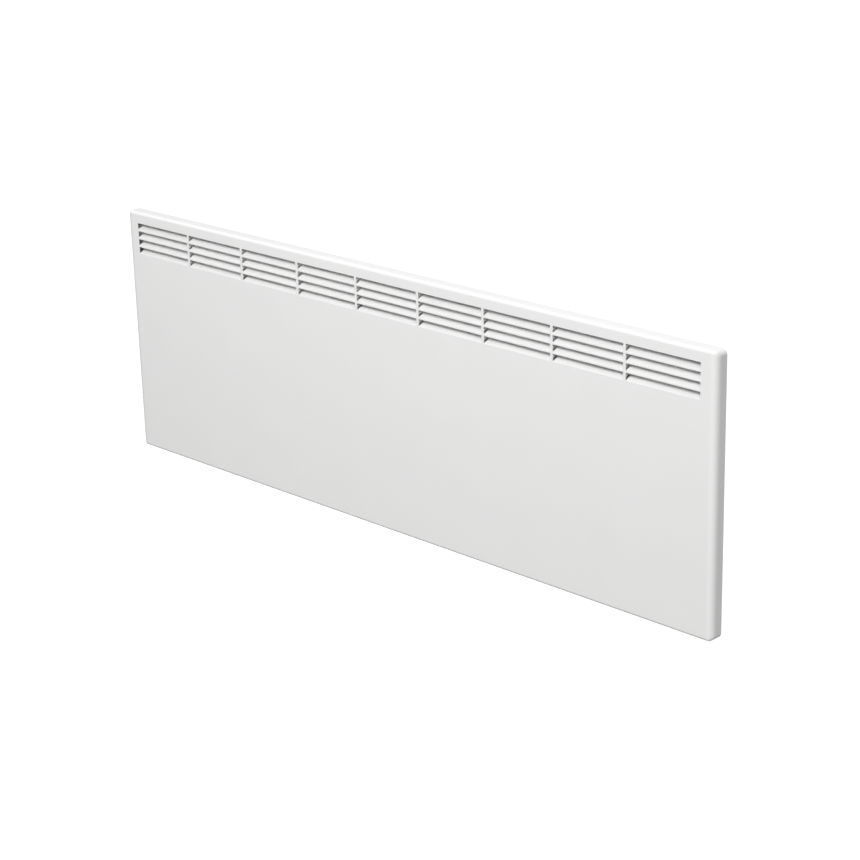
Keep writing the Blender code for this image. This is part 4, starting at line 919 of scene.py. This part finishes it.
def cover_screws():
    """Pan heads with a cross recess."""
    for number in range(1, SCREWS + 1):
        low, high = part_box(f"cover_screw_{number}")
        middle = (low + high) / 2
        head = (high.x - low.x) / 2
        base = Vector((middle.x, high.y - SCREW_HEAD_HEIGHT, middle.z))
        dome = arc(head, math.pi / 2, 0, ROUND // 6, (0.0, 0.0), SCREW_HEAD_HEIGHT / head)
        profile = [(abs(across), up) for across, up in dome]
        tip = -(high.y - low.y - SCREW_HEAD_HEIGHT)
        profile += [(SCREW_RADIUS, 0.0), (SCREW_RADIUS, tip + SCREW_RADIUS), (0.0, tip)]
        screw = turned(f"screw_{number}", profile, base, (0, 1, 0))
        place = Vector((middle.x, high.y, middle.z))
        arms = []
        for across, up in (SCREW_CROSS, SCREW_CROSS.yx):
            corner = Vector((across / 2, SCREW_RECESS, up / 2))
            arms.append(box("screw_cross", place - corner, place + corner))
        combine(screw, "DIFFERENCE", *arms)
        finished(screw, "heater", "zinc_steel", f"cover_screw_{number}")


def air_baffle():
    """The curved guide seen behind the louvre blades."""
    low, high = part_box("air_baffle")
    reach = high.y - BAFFLE_SHEET / 2 - BAFFLE_AXIS_Y
    rise = high.z - BAFFLE_SHEET / 2 - BAFFLE_START_Z
    axis = (BAFFLE_AXIS_Y, BAFFLE_START_Z)
    path = arc(reach, 0, math.pi / 2, BAFFLE_STEPS, axis, rise / reach)
    guide = folded_sheet("air_guide", path, high.x - low.x, BAFFLE_SHEET, (0, 0, 0), "X", 0)
    finished(guide, "heater", "casing_enamel", "air_baffle")


# ---------------------------------------------------------------------------
# Underside: control strip, buttons, projector window, power switch and cord gland


def control_strip():
    low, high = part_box("control_strip")
    middle = (low + high) / 2
    holes = [circle(WINDOW_RADIUS + GAP, middle_of("projector_window").xy)]
    holes += [circle(BUTTON_RADIUS + GAP, middle_of(name).xy) for name in BUTTONS]
    plate = rounded_rectangle(low.xy, high.xy, STRIP_CORNER)
    start = low.z + STRIP_THICKNESS / 2
    face = outline("strip_panel", [plate, *holes], STRIP_THICKNESS, (0, 0, start), "Z")
    half = STRIP_FRAME / 2
    wall = Vector((STRIP_FRAME_WALL, STRIP_FRAME_WALL))
    outer = rounded_rectangle(middle.xy - half, middle.xy + half, STRIP_CORNER / 2)
    inner = rounded_rectangle(middle.xy - half + wall, middle.xy + half - wall, STRIP_CORNER / 4)
    place = (0, 0, (start + high.z) / 2)
    combine(face, "UNION", outline("strip_frame", [outer, inner], high.z - start, place, "Z"))
    soften(face, STRIP_EDGE, 3)
    finished(face, "heater", "grey_plastic", "control_strip")


def dished_end(radius):
    """Profile of a round end: a filleted rim, then a shallow dish as far as the middle."""
    inner = radius - END_FILLET
    rim = arc(END_FILLET, 0, -math.pi / 2, FOLD_STEPS, (inner, END_FILLET))
    shares = [i / DISH_STEPS for i in reversed(range(DISH_STEPS))]
    return rim + [(inner * share, END_DISH * (1 - share**2)) for share in shares]


def button(name):
    low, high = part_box(name)
    middle = (low + high) / 2
    stem = BUTTON_RADIUS / 2
    flange = STRIP_THICKNESS + BUTTON_PROUD + GAP
    profile = [
        (0.0, high.z - low.z),
        (stem, high.z - low.z),
        (stem, flange + BUTTON_FLANGE_HEIGHT),
        (BUTTON_FLANGE, flange + BUTTON_FLANGE_HEIGHT),
        (BUTTON_FLANGE, flange),
        (BUTTON_RADIUS, flange),
        *dished_end(BUTTON_RADIUS),
    ]
    cap = turned(f"{name}_cap", profile, (middle.x, middle.y, low.z), (0, 0, 1))
    finished(cap, name, "white_plastic", name)


def bar(length, width, middle):
    half = Vector((length, width)) / 2
    middle = Vector(middle)
    radius = min(half) * BAR_ROUNDING
    return rounded_rectangle(middle - half, middle + half, radius, SMALL_CORNER_STEPS)


def button_marks():
    """Generic minus, plus and ring, raised in the dish of each button."""
    minus, plus, mode = (middle_of(name).xy for name in BUTTONS)
    place = (0, 0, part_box(BUTTONS[0])[0].z + END_DISH)
    length, width = MARK_SIZE
    marks = {
        "minus_button": [bar(length, width, minus)],
        "plus_button": [plus_outline(length, width, plus)],
        "mode_button": [circle(length / 2, mode), circle(length / 2 - width, mode)],
    }
    for name, loops in marks.items():
        mark = outline(f"{name}_mark", loops, MARK_THICKNESS, place, "Z")
        soften(mark, MARK_THICKNESS / 5, 1)
        finished(mark, name, "grey_plastic")


def plus_outline(length, width, middle):
    long, short = length / 2, width / 2
    arm = [Vector((short, short)), Vector((short, long)), Vector((-short, long))]
    points = []
    for quarter in range(4):
        turn = Matrix.Rotation(quarter * math.pi / 2, 2)
        points += [middle + turn @ point for point in arm]
    return points


def projector_window():
    low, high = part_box("projector_window")
    middle = (low + high) / 2
    thickness = high.z - low.z
    profile = [(0.0, thickness), (WINDOW_RADIUS, thickness), *dished_end(WINDOW_RADIUS)]
    pane = turned("window_pane", profile, (middle.x, middle.y, low.z), (0, 0, 1))
    finished(pane, "heater", "lens_clear", "projector_window")


def cord_gland():
    low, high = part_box("cord_gland")
    middle = (low + high) / 2
    collar = (high.x - low.x) / 2
    top = high.z - low.z
    fillet, quarter = GLAND_FILLET, math.pi / 2
    profile = [
        (collar * GLAND_BARB, top),
        (collar * GLAND_BARB, top - GLAND_COLLAR_HEIGHT),
        (GLAND_NECK, top - GLAND_COLLAR_HEIGHT),
        (GLAND_NECK, GLAND_COLLAR_HEIGHT),
        (collar, GLAND_COLLAR_HEIGHT),
        *arc(fillet, 0, -quarter, FOLD_STEPS, (collar - fillet, fillet)),
        *arc(fillet, -quarter, -2 * quarter, FOLD_STEPS, (GLAND_BORE + fillet, fillet)),
        (GLAND_BORE, top),
    ]
    bush = turned("gland_bush", profile, (middle.x, middle.y, low.z), (0, 0, 1), ring=True)
    finished(bush, "heater", "grey_plastic", "cord_gland")


def power_switch():
    low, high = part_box("power_switch_body")
    middle = (low + high) / 2
    bezel = rounded_rectangle(low.xy, high.xy, SWITCH_CORNER)
    bezel_z = low.z + STRIP_THICKNESS / 2
    body = outline("switch_housing", [bezel], STRIP_THICKNESS, (0, 0, bezel_z), "Z")
    half = SWITCH_CORE / 2
    core_low = (*(middle.xy - half), bezel_z)
    core_high = (*(middle.xy + half), high.z)
    combine(body, "UNION", box("switch_core", core_low, core_high))
    half = SWITCH_POCKET.xy / 2
    pocket_low = (*(middle.xy - half), low.z - GAP)
    pocket_high = (*(middle.xy + half), low.z - GAP + SWITCH_POCKET.z)
    combine(body, "DIFFERENCE", box("switch_pocket", pocket_low, pocket_high))
    soften(body, STRIP_EDGE, 3)
    finished(body, "heater", "black_plastic", "power_switch_body")


def rocker_face(across):
    """Height of the rocker's dished face below its axis."""
    return -ROCKER_WAIST - (ROCKER_TIP - ROCKER_WAIST) * (across / ROCKER_HALF) ** 2


def rocker_slope(across):
    """How far the dished face is turned out of the level, about the rocker's axis."""
    return math.atan(2 * (ROCKER_TIP - ROCKER_WAIST) * across / ROCKER_HALF**2)


def power_switch_rocker():
    middle = middle_of("power_switch_rocker")
    steps = [ROCKER_HALF * (2 * i / DISH_STEPS - 1) for i in range(DISH_STEPS + 1)]
    face = [(across, rocker_face(across)) for across in steps]
    section = [(-ROCKER_HALF, ROCKER_TOP), *face, (ROCKER_HALF, ROCKER_TOP)]
    rocker = outline("rocker_key", [section], ROCKER_WIDTH, (0, 0, 0), "Y")
    soften(rocker, ROCKER_EDGE, 3, SHALLOW_CREASE)
    length, width = MARK_SIZE
    marks = []
    for name, sign, loops in (
        ("switch_bar_mark", 1, [bar(width, length, (0, 0))]),
        ("switch_ring_mark", -1, [circle(length / 2), circle(length / 2 - width)]),
    ):
        across = sign * ROCKER_MARK_X
        mark = outline(name, loops, MARK_THICKNESS, (0, 0, 0), "Z")
        place = Matrix.Translation((across, 0, rocker_face(across)))
        mark.data.transform(place @ Matrix.Rotation(rocker_slope(across), 4, "Y"))
        marks.append(mark)
    axis = Matrix.Translation((middle.x, middle.y, ROCKER_AXIS_Z))
    turn = axis @ Matrix.Rotation(ROCKER_ANGLE, 4, "Y")
    for obj in (rocker, *marks):
        obj.data.transform(turn)
    finished(rocker, "power_switch_rocker", "white_plastic", "power_switch_rocker")
    for mark in marks:
        finished(mark, "power_switch_rocker", "grey_plastic")


# ---------------------------------------------------------------------------
# Wall bracket and what hangs on it


def upright(side):
    low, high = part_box(f"bracket_upright_{side}")
    middle = (low + high) / 2
    half = (high.x - low.x - BRACKET_SHEET) / 2
    web_y = high.y - BRACKET_SHEET / 2
    left, right = middle.x - half, middle.x + half
    path = [(left, low.y), (left, web_y), (right, web_y), (right, low.y)]
    span, place = high.z - low.z, (0, 0, middle.z)
    channel = folded_sheet(f"upright_{side}", path, span, BRACKET_SHEET, place, "Z", BRACKET_FOLD)
    holes = [
        cylinder("wall_hole", WALL_SCREW_HOLE, (middle.x, high.y + GAP, z), (middle.x, low.y, z))
        for z in WALL_SCREW_Z
    ]
    cutters = [notch(middle.x), flange_trim(low, high), web_trim(low, high)]
    combine(channel, "DIFFERENCE", *cutters, *holes)
    soften(channel, EDGE_BREAK)
    finished(channel, "wall_bracket", "zinc_steel", f"bracket_upright_{side}")


def notch(x):
    """The open slot in both flanges that the pivot pin drops into."""
    radius = PIVOT_RADIUS + GAP
    top = PIVOT.z + NOTCH_RISE
    out = -CUT_DEPTH * 4
    behind, ahead = PIVOT.y + radius, PIVOT.y - radius
    into = rounded_path([(behind, PIVOT.z), (behind, top), (out, top)], radius / 2)
    lip = top - NOTCH_MOUTH
    mouth = rounded_path([(out, lip), (ahead, lip), (ahead, PIVOT.z)], radius / 2)
    seat = arc(radius, math.pi, 2 * math.pi, ROUND // 3, (PIVOT.y, PIVOT.z))[1:-1]
    return outline("notch", [[*into, *mouth, *seat]], 3 * LUG_SPAN, (x, 0, 0), "X")


def flange_trim(low, high):
    """Takes off the flanges above their top, with their front corners rounded."""
    below, above = UPRIGHT_FLANGE_TOP - TRIM_RADIUS, high.z + CUT_DEPTH
    out = 2 * low.y
    web_front = high.y - BRACKET_SHEET
    loop = [
        (out, below),
        *arc(TRIM_RADIUS, math.pi, math.pi / 2, FOLD_STEPS, (low.y + TRIM_RADIUS, below)),
        (web_front, UPRIGHT_FLANGE_TOP),
        (web_front, above),
        (out, above),
    ]
    return outline("flange_trim", [loop], 2 * (high.x - low.x), ((low.x + high.x) / 2, 0, 0), "X")


def web_trim(low, high):
    """Rounds the two upper corners of the web."""
    left, right = low.x - CUT_DEPTH, high.x + CUT_DEPTH
    below, above = high.z - TRIM_RADIUS, high.z + CUT_DEPTH
    loop = [
        (left, below),
        *arc(TRIM_RADIUS, math.pi, math.pi / 2, FOLD_STEPS, (low.x + TRIM_RADIUS, below)),
        *arc(TRIM_RADIUS, math.pi / 2, 0, FOLD_STEPS, (high.x - TRIM_RADIUS, below)),
        (right, below),
        (right, above),
        (left, above),
    ]
    return outline("web_trim", [loop], 4 * (high.y - low.y), (0, low.y, 0), "Y")


def rail():
    low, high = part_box("bracket_rail")
    half = (high.z - low.z - BRACKET_SHEET) / 2
    web_y = high.y - BRACKET_SHEET / 2
    path = [(low.y, -half), (web_y, -half), (web_y, half), (low.y, half)]
    span = high.x - low.x
    channel = folded_sheet("rail", path, span, BRACKET_SHEET, (0, 0, 0), "X", BRACKET_FOLD)
    soften(channel, EDGE_BREAK)
    finished(channel, "wall_bracket", "zinc_steel", "bracket_rail")


def keeper(side):
    low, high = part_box(f"keeper_{side}")
    foot_y = low.y + KEEPER_SHEET / 2
    lip_y = high.y - KEEPER_SHEET / 2
    path = [(foot_y, high.z), (foot_y, KEEPER_SHELF), (lip_y, KEEPER_SHELF), (lip_y, low.z)]
    span, place = high.x - low.x, ((low.x + high.x) / 2, 0, 0)
    hook = folded_sheet(f"hook_{side}", path, span, KEEPER_SHEET, place, "X", KEEPER_SHEET)
    soften(hook, EDGE_BREAK * 2)
    finished(hook, "heater", "zinc_steel", f"keeper_{side}")


def pivot_lug(side):
    low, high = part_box(f"pivot_lug_{side}")
    x = (low.x + high.x) / 2
    foot_low = Vector((x - LUG_SPAN / 2, PIVOT.z - LUG_HEIGHT / 2))
    foot_high = Vector((x + LUG_SPAN / 2, PIVOT.z + LUG_HEIGHT / 2))
    foot_loop = rounded_rectangle(foot_low, foot_high, TRIM_RADIUS)
    foot_y = low.y + LUG_THICKNESS / 2
    foot = outline(f"lug_{side}", [foot_loop], LUG_THICKNESS, (0, foot_y, 0), "Y")
    ear_end = arc(EAR_RADIUS, -math.pi / 2, math.pi / 2, ROUND // 3, (PIVOT.y, PIVOT.z))
    ear = [(foot_y, PIVOT.z - EAR_FOOT), *ear_end, (foot_y, PIVOT.z + EAR_FOOT)]
    half, chamfer = (high.x - low.x) / 2, PIVOT_RADIUS / 6
    pin = [
        (0.0, half),
        (PIVOT_RADIUS - chamfer, half),
        (PIVOT_RADIUS, half - chamfer),
        (PIVOT_RADIUS, chamfer - half),
        (PIVOT_RADIUS - chamfer, -half),
        (0.0, -half),
    ]
    combine(
        foot,
        "UNION",
        outline("ear", [ear], EAR_THICKNESS, (x, 0, 0), "X"),
        turned("pin", pin, (x, PIVOT.y, PIVOT.z), (1, 0, 0)),
    )
    soften(foot, EDGE_BREAK)
    finished(foot, "heater", "zinc_steel", f"pivot_lug_{side}")


def lock(side):
    """A quarter-turn lock: a moulded bar on a hub, with grip grooves at its lever's end."""
    low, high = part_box(f"lock_{side}")
    x = (low.x + high.x) / 2
    half = LOCK_HALF_WIDTH
    top = arc(half, 0, math.pi, ROUND // 3, (0.0, high.z - LOCK_Z - half))
    foot = LOCK_FOOT_RADIUS
    bottom = low.z - LOCK_Z
    tongue = [
        *arc(foot, math.pi, 1.5 * math.pi, FOLD_STEPS, (foot - half, bottom + foot)),
        *arc(foot, 1.5 * math.pi, 2 * math.pi, FOLD_STEPS, (half - foot, bottom + foot)),
    ]
    place = Vector((x, low.y + LOCK_THICKNESS / 2, LOCK_Z))
    latch = outline(f"latch_{side}", [[*tongue, *top]], LOCK_THICKNESS, place, "Y")
    hub = cylinder("hub", LOCK_HUB, (x, place.y, LOCK_Z), (x, high.y, LOCK_Z))
    combine(latch, "UNION", hub)
    bore = cylinder("bore", RIVET_RADIUS + GAP, (x, low.y - GAP, LOCK_Z), (x, 0, LOCK_Z))
    grooves = []
    for i in range(LOCK_GROOVES):
        z = high.z - half / 2 - i * LOCK_GROOVE_PITCH
        corner = Vector((2 * half, LOCK_GROOVE_DEPTH, LOCK_GROOVE_PITCH / 4))
        middle = Vector((x, low.y, z))
        grooves.append(box("groove", middle - corner, middle + corner))
    combine(latch, "DIFFERENCE", bore, *grooves)
    soften(latch, EDGE_BREAK * 2)
    finished(latch, f"lock_{side}", "white_plastic", f"lock_{side}")


def lock_rivet(side):
    low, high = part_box(f"lock_rivet_{side}")
    middle = (low + high) / 2
    head = (high.x - low.x) / 2
    length = high.y - low.y
    dome = arc(head, math.pi / 2, 0, ROUND // 6, (0.0, 0.0), RIVET_HEAD_HEIGHT / head)
    profile = [(abs(across), length - RIVET_HEAD_HEIGHT + up) for across, up in dome]
    profile += [(RIVET_RADIUS, length - RIVET_HEAD_HEIGHT), (RIVET_RADIUS, 0.0), (0.0, 0.0)]
    rivet = turned(f"rivet_{side}", profile, (middle.x, high.y, middle.z), (0, -1, 0))
    finished(rivet, "wall_bracket", "zinc_steel", f"lock_rivet_{side}")


def leaf_spring(side):
    low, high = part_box(f"spring_clip_{side}")
    web = high.y - SPRING_SHEET / 2
    half = (high.z - low.z) / (2 + SPRING_TAIL)
    middle_z = high.z - half
    rise = (web - low.y - SPRING_SHEET / 2) / half
    bulge = arc(half, -math.pi / 2, math.pi / 2, SPRING_STEPS)
    path = [(web, low.z)] + [(web - across * rise, middle_z + up) for across, up in bulge]
    span, place = high.x - low.x, ((low.x + high.x) / 2, 0, 0)
    spring = folded_sheet(f"leaf_{side}", path, span, SPRING_SHEET, place, "X", 0)
    finished(spring, "wall_bracket", "zinc_steel", f"spring_clip_{side}")


front_cover()
rear_casing()
cover_screws()
air_baffle()
control_strip()
for button_name in BUTTONS:
    button(button_name)
button_marks()
projector_window()
cord_gland()
power_switch()
power_switch_rocker()
rail()
for end in ("left", "right"):
    upright(end)
    keeper(end)
    pivot_lug(end)
    lock(end)
    lock_rivet(end)
    leaf_spring(end)


# ---------------------------------------------------------------------------
# Carried-over CAD nodes


def carry_over():
    """Gives the CAD nodes that still show their materials, and smooth shading on round faces."""
    slots = {part["node"]: part["material_slot"] for part in frame["record"]["subparts"]}
    for name, obj in frame["nodes"].items():
        if obj.hide_render:
            continue
        obj.data.shade_smooth()
        obj.data.set_sharp_from_angle(angle=CREASE if name.endswith("_lead") else SHARP)
        obj.data.materials.clear()
        obj.data.materials.append(LOOKS[slots[name]])


carry_over()


# ---------------------------------------------------------------------------
# Stage, light and camera

FLOOR_Z = -0.62
FLOOR_REACH = 40.0
FLOOR_GLOW = 0.95
CAMERA_PLACE = Vector((2.198, -2.179, 1.033))
CAMERA_SIDE = (45.0, 19.405)  # azimuth and elevation that it looks from, in degrees
CAMERA_ROLL = math.radians(-1.447)
CAMERA_LENS = 92.17
SENSOR_WIDTH = 36.0
FARTHEST = 200.0

# Patches of the dome: azimuth and elevation in degrees, sharpness, and radiance
OVERHEAD = (0.0, 90.0, 1.0, 0.48)
FRONT_GLOW = (36.0, 10.0, 4.0, 1.25)
BACK_GLOW = (180.0, 10.0, 2.0, 1.10)
AMBIENT = 0.02
LAMP_PLACE = Vector((0.30, -2.6, 2.4))
LAMP_SIZE = 1.3
LAMP_POWER = 84.0


def floor():
    """A plain pale floor that lights nothing."""
    bm = bmesh.new()
    bmesh.ops.create_grid(bm, x_segments=1, y_segments=1, size=FLOOR_REACH)
    bmesh.ops.translate(bm, vec=(0, 0, FLOOR_Z), verts=bm.verts)
    plane = add("floor", mesh_of(bm, "floor"))
    look = Look("floor", (0.20, 0.20, 0.20), 0.9)
    look.tint(look.noise(3.0), 0.004)
    look.set("Specular IOR Level", 0.0)
    look.set("Emission Color", (1.0, 1.0, 1.0, 1.0))
    look.set("Emission Strength", FLOOR_GLOW)
    plane.data.materials.append(look.material)
    plane.visible_diffuse = False
    plane.visible_glossy = False


def studio():
    """A soft dome, bright overhead, in front and behind, and a large lamp high up in front."""
    world = bpy.data.worlds.new("studio")
    bpy.context.scene.world = world
    world.use_nodes = True
    tree = world.node_tree
    place = tree.nodes.new("ShaderNodeTexCoord").outputs["Generated"]

    def value(operation, first, second):
        """One arithmetic step; the second operand is a number or an earlier step."""
        step = tree.nodes.new("ShaderNodeMath")
        step.operation = operation
        tree.links.new(first, step.inputs[0])
        if isinstance(second, float):
            step.inputs[1].default_value = second
        else:
            tree.links.new(second, step.inputs[1])
        return step.outputs[0]

    def glow(azimuth, elevation, power, strength):
        """A soft patch of light, brightest in its own direction."""
        dot = tree.nodes.new("ShaderNodeVectorMath")
        dot.operation = "DOT_PRODUCT"
        dot.inputs[1].default_value = toward(azimuth, elevation)
        tree.links.new(place, dot.inputs[0])
        facing = value("MAXIMUM", dot.outputs["Value"], 0.0)
        return value("MULTIPLY", value("POWER", facing, power), strength)

    light = glow(*OVERHEAD)
    for patch in (FRONT_GLOW, BACK_GLOW):
        light = value("ADD", light, glow(*patch))
    background = tree.nodes["Background"]
    tree.links.new(value("ADD", light, AMBIENT), background.inputs["Strength"])
    background.inputs["Color"].default_value = (1.0, 1.0, 1.0, 1.0)

    lamp = bpy.data.lights.new("lamp", "AREA")
    lamp.shape = "DISK"
    lamp.size = LAMP_SIZE
    lamp.energy = LAMP_POWER
    holder = bpy.data.objects.new("lamp", lamp)
    bpy.context.scene.collection.objects.link(holder)
    holder.location = LAMP_PLACE
    holder.rotation_euler = (-LAMP_PLACE).to_track_quat("-Z", "Y").to_euler()


def toward(azimuth, elevation):
    """A direction given by its degrees round from the front towards +X, and above the horizon."""
    turn, rise = math.radians(azimuth), math.radians(elevation)
    return Vector(
        (math.sin(turn) * math.cos(rise), -math.cos(turn) * math.cos(rise), math.sin(rise))
    )


def camera():
    data = bpy.data.cameras.new("camera")
    data.lens = CAMERA_LENS
    data.sensor_width = SENSOR_WIDTH
    data.clip_end = FARTHEST
    obj = bpy.data.objects.new("camera", data)
    bpy.context.scene.collection.objects.link(obj)
    obj.location = CAMERA_PLACE
    turn = (-toward(*CAMERA_SIDE)).to_track_quat("-Z", "Y").to_matrix()
    obj.rotation_euler = (turn @ Matrix.Rotation(CAMERA_ROLL, 3, "Z")).to_euler()
    bpy.context.scene.camera = obj


floor()
studio()
camera()
bpy.context.scene.view_settings.view_transform = "Standard"
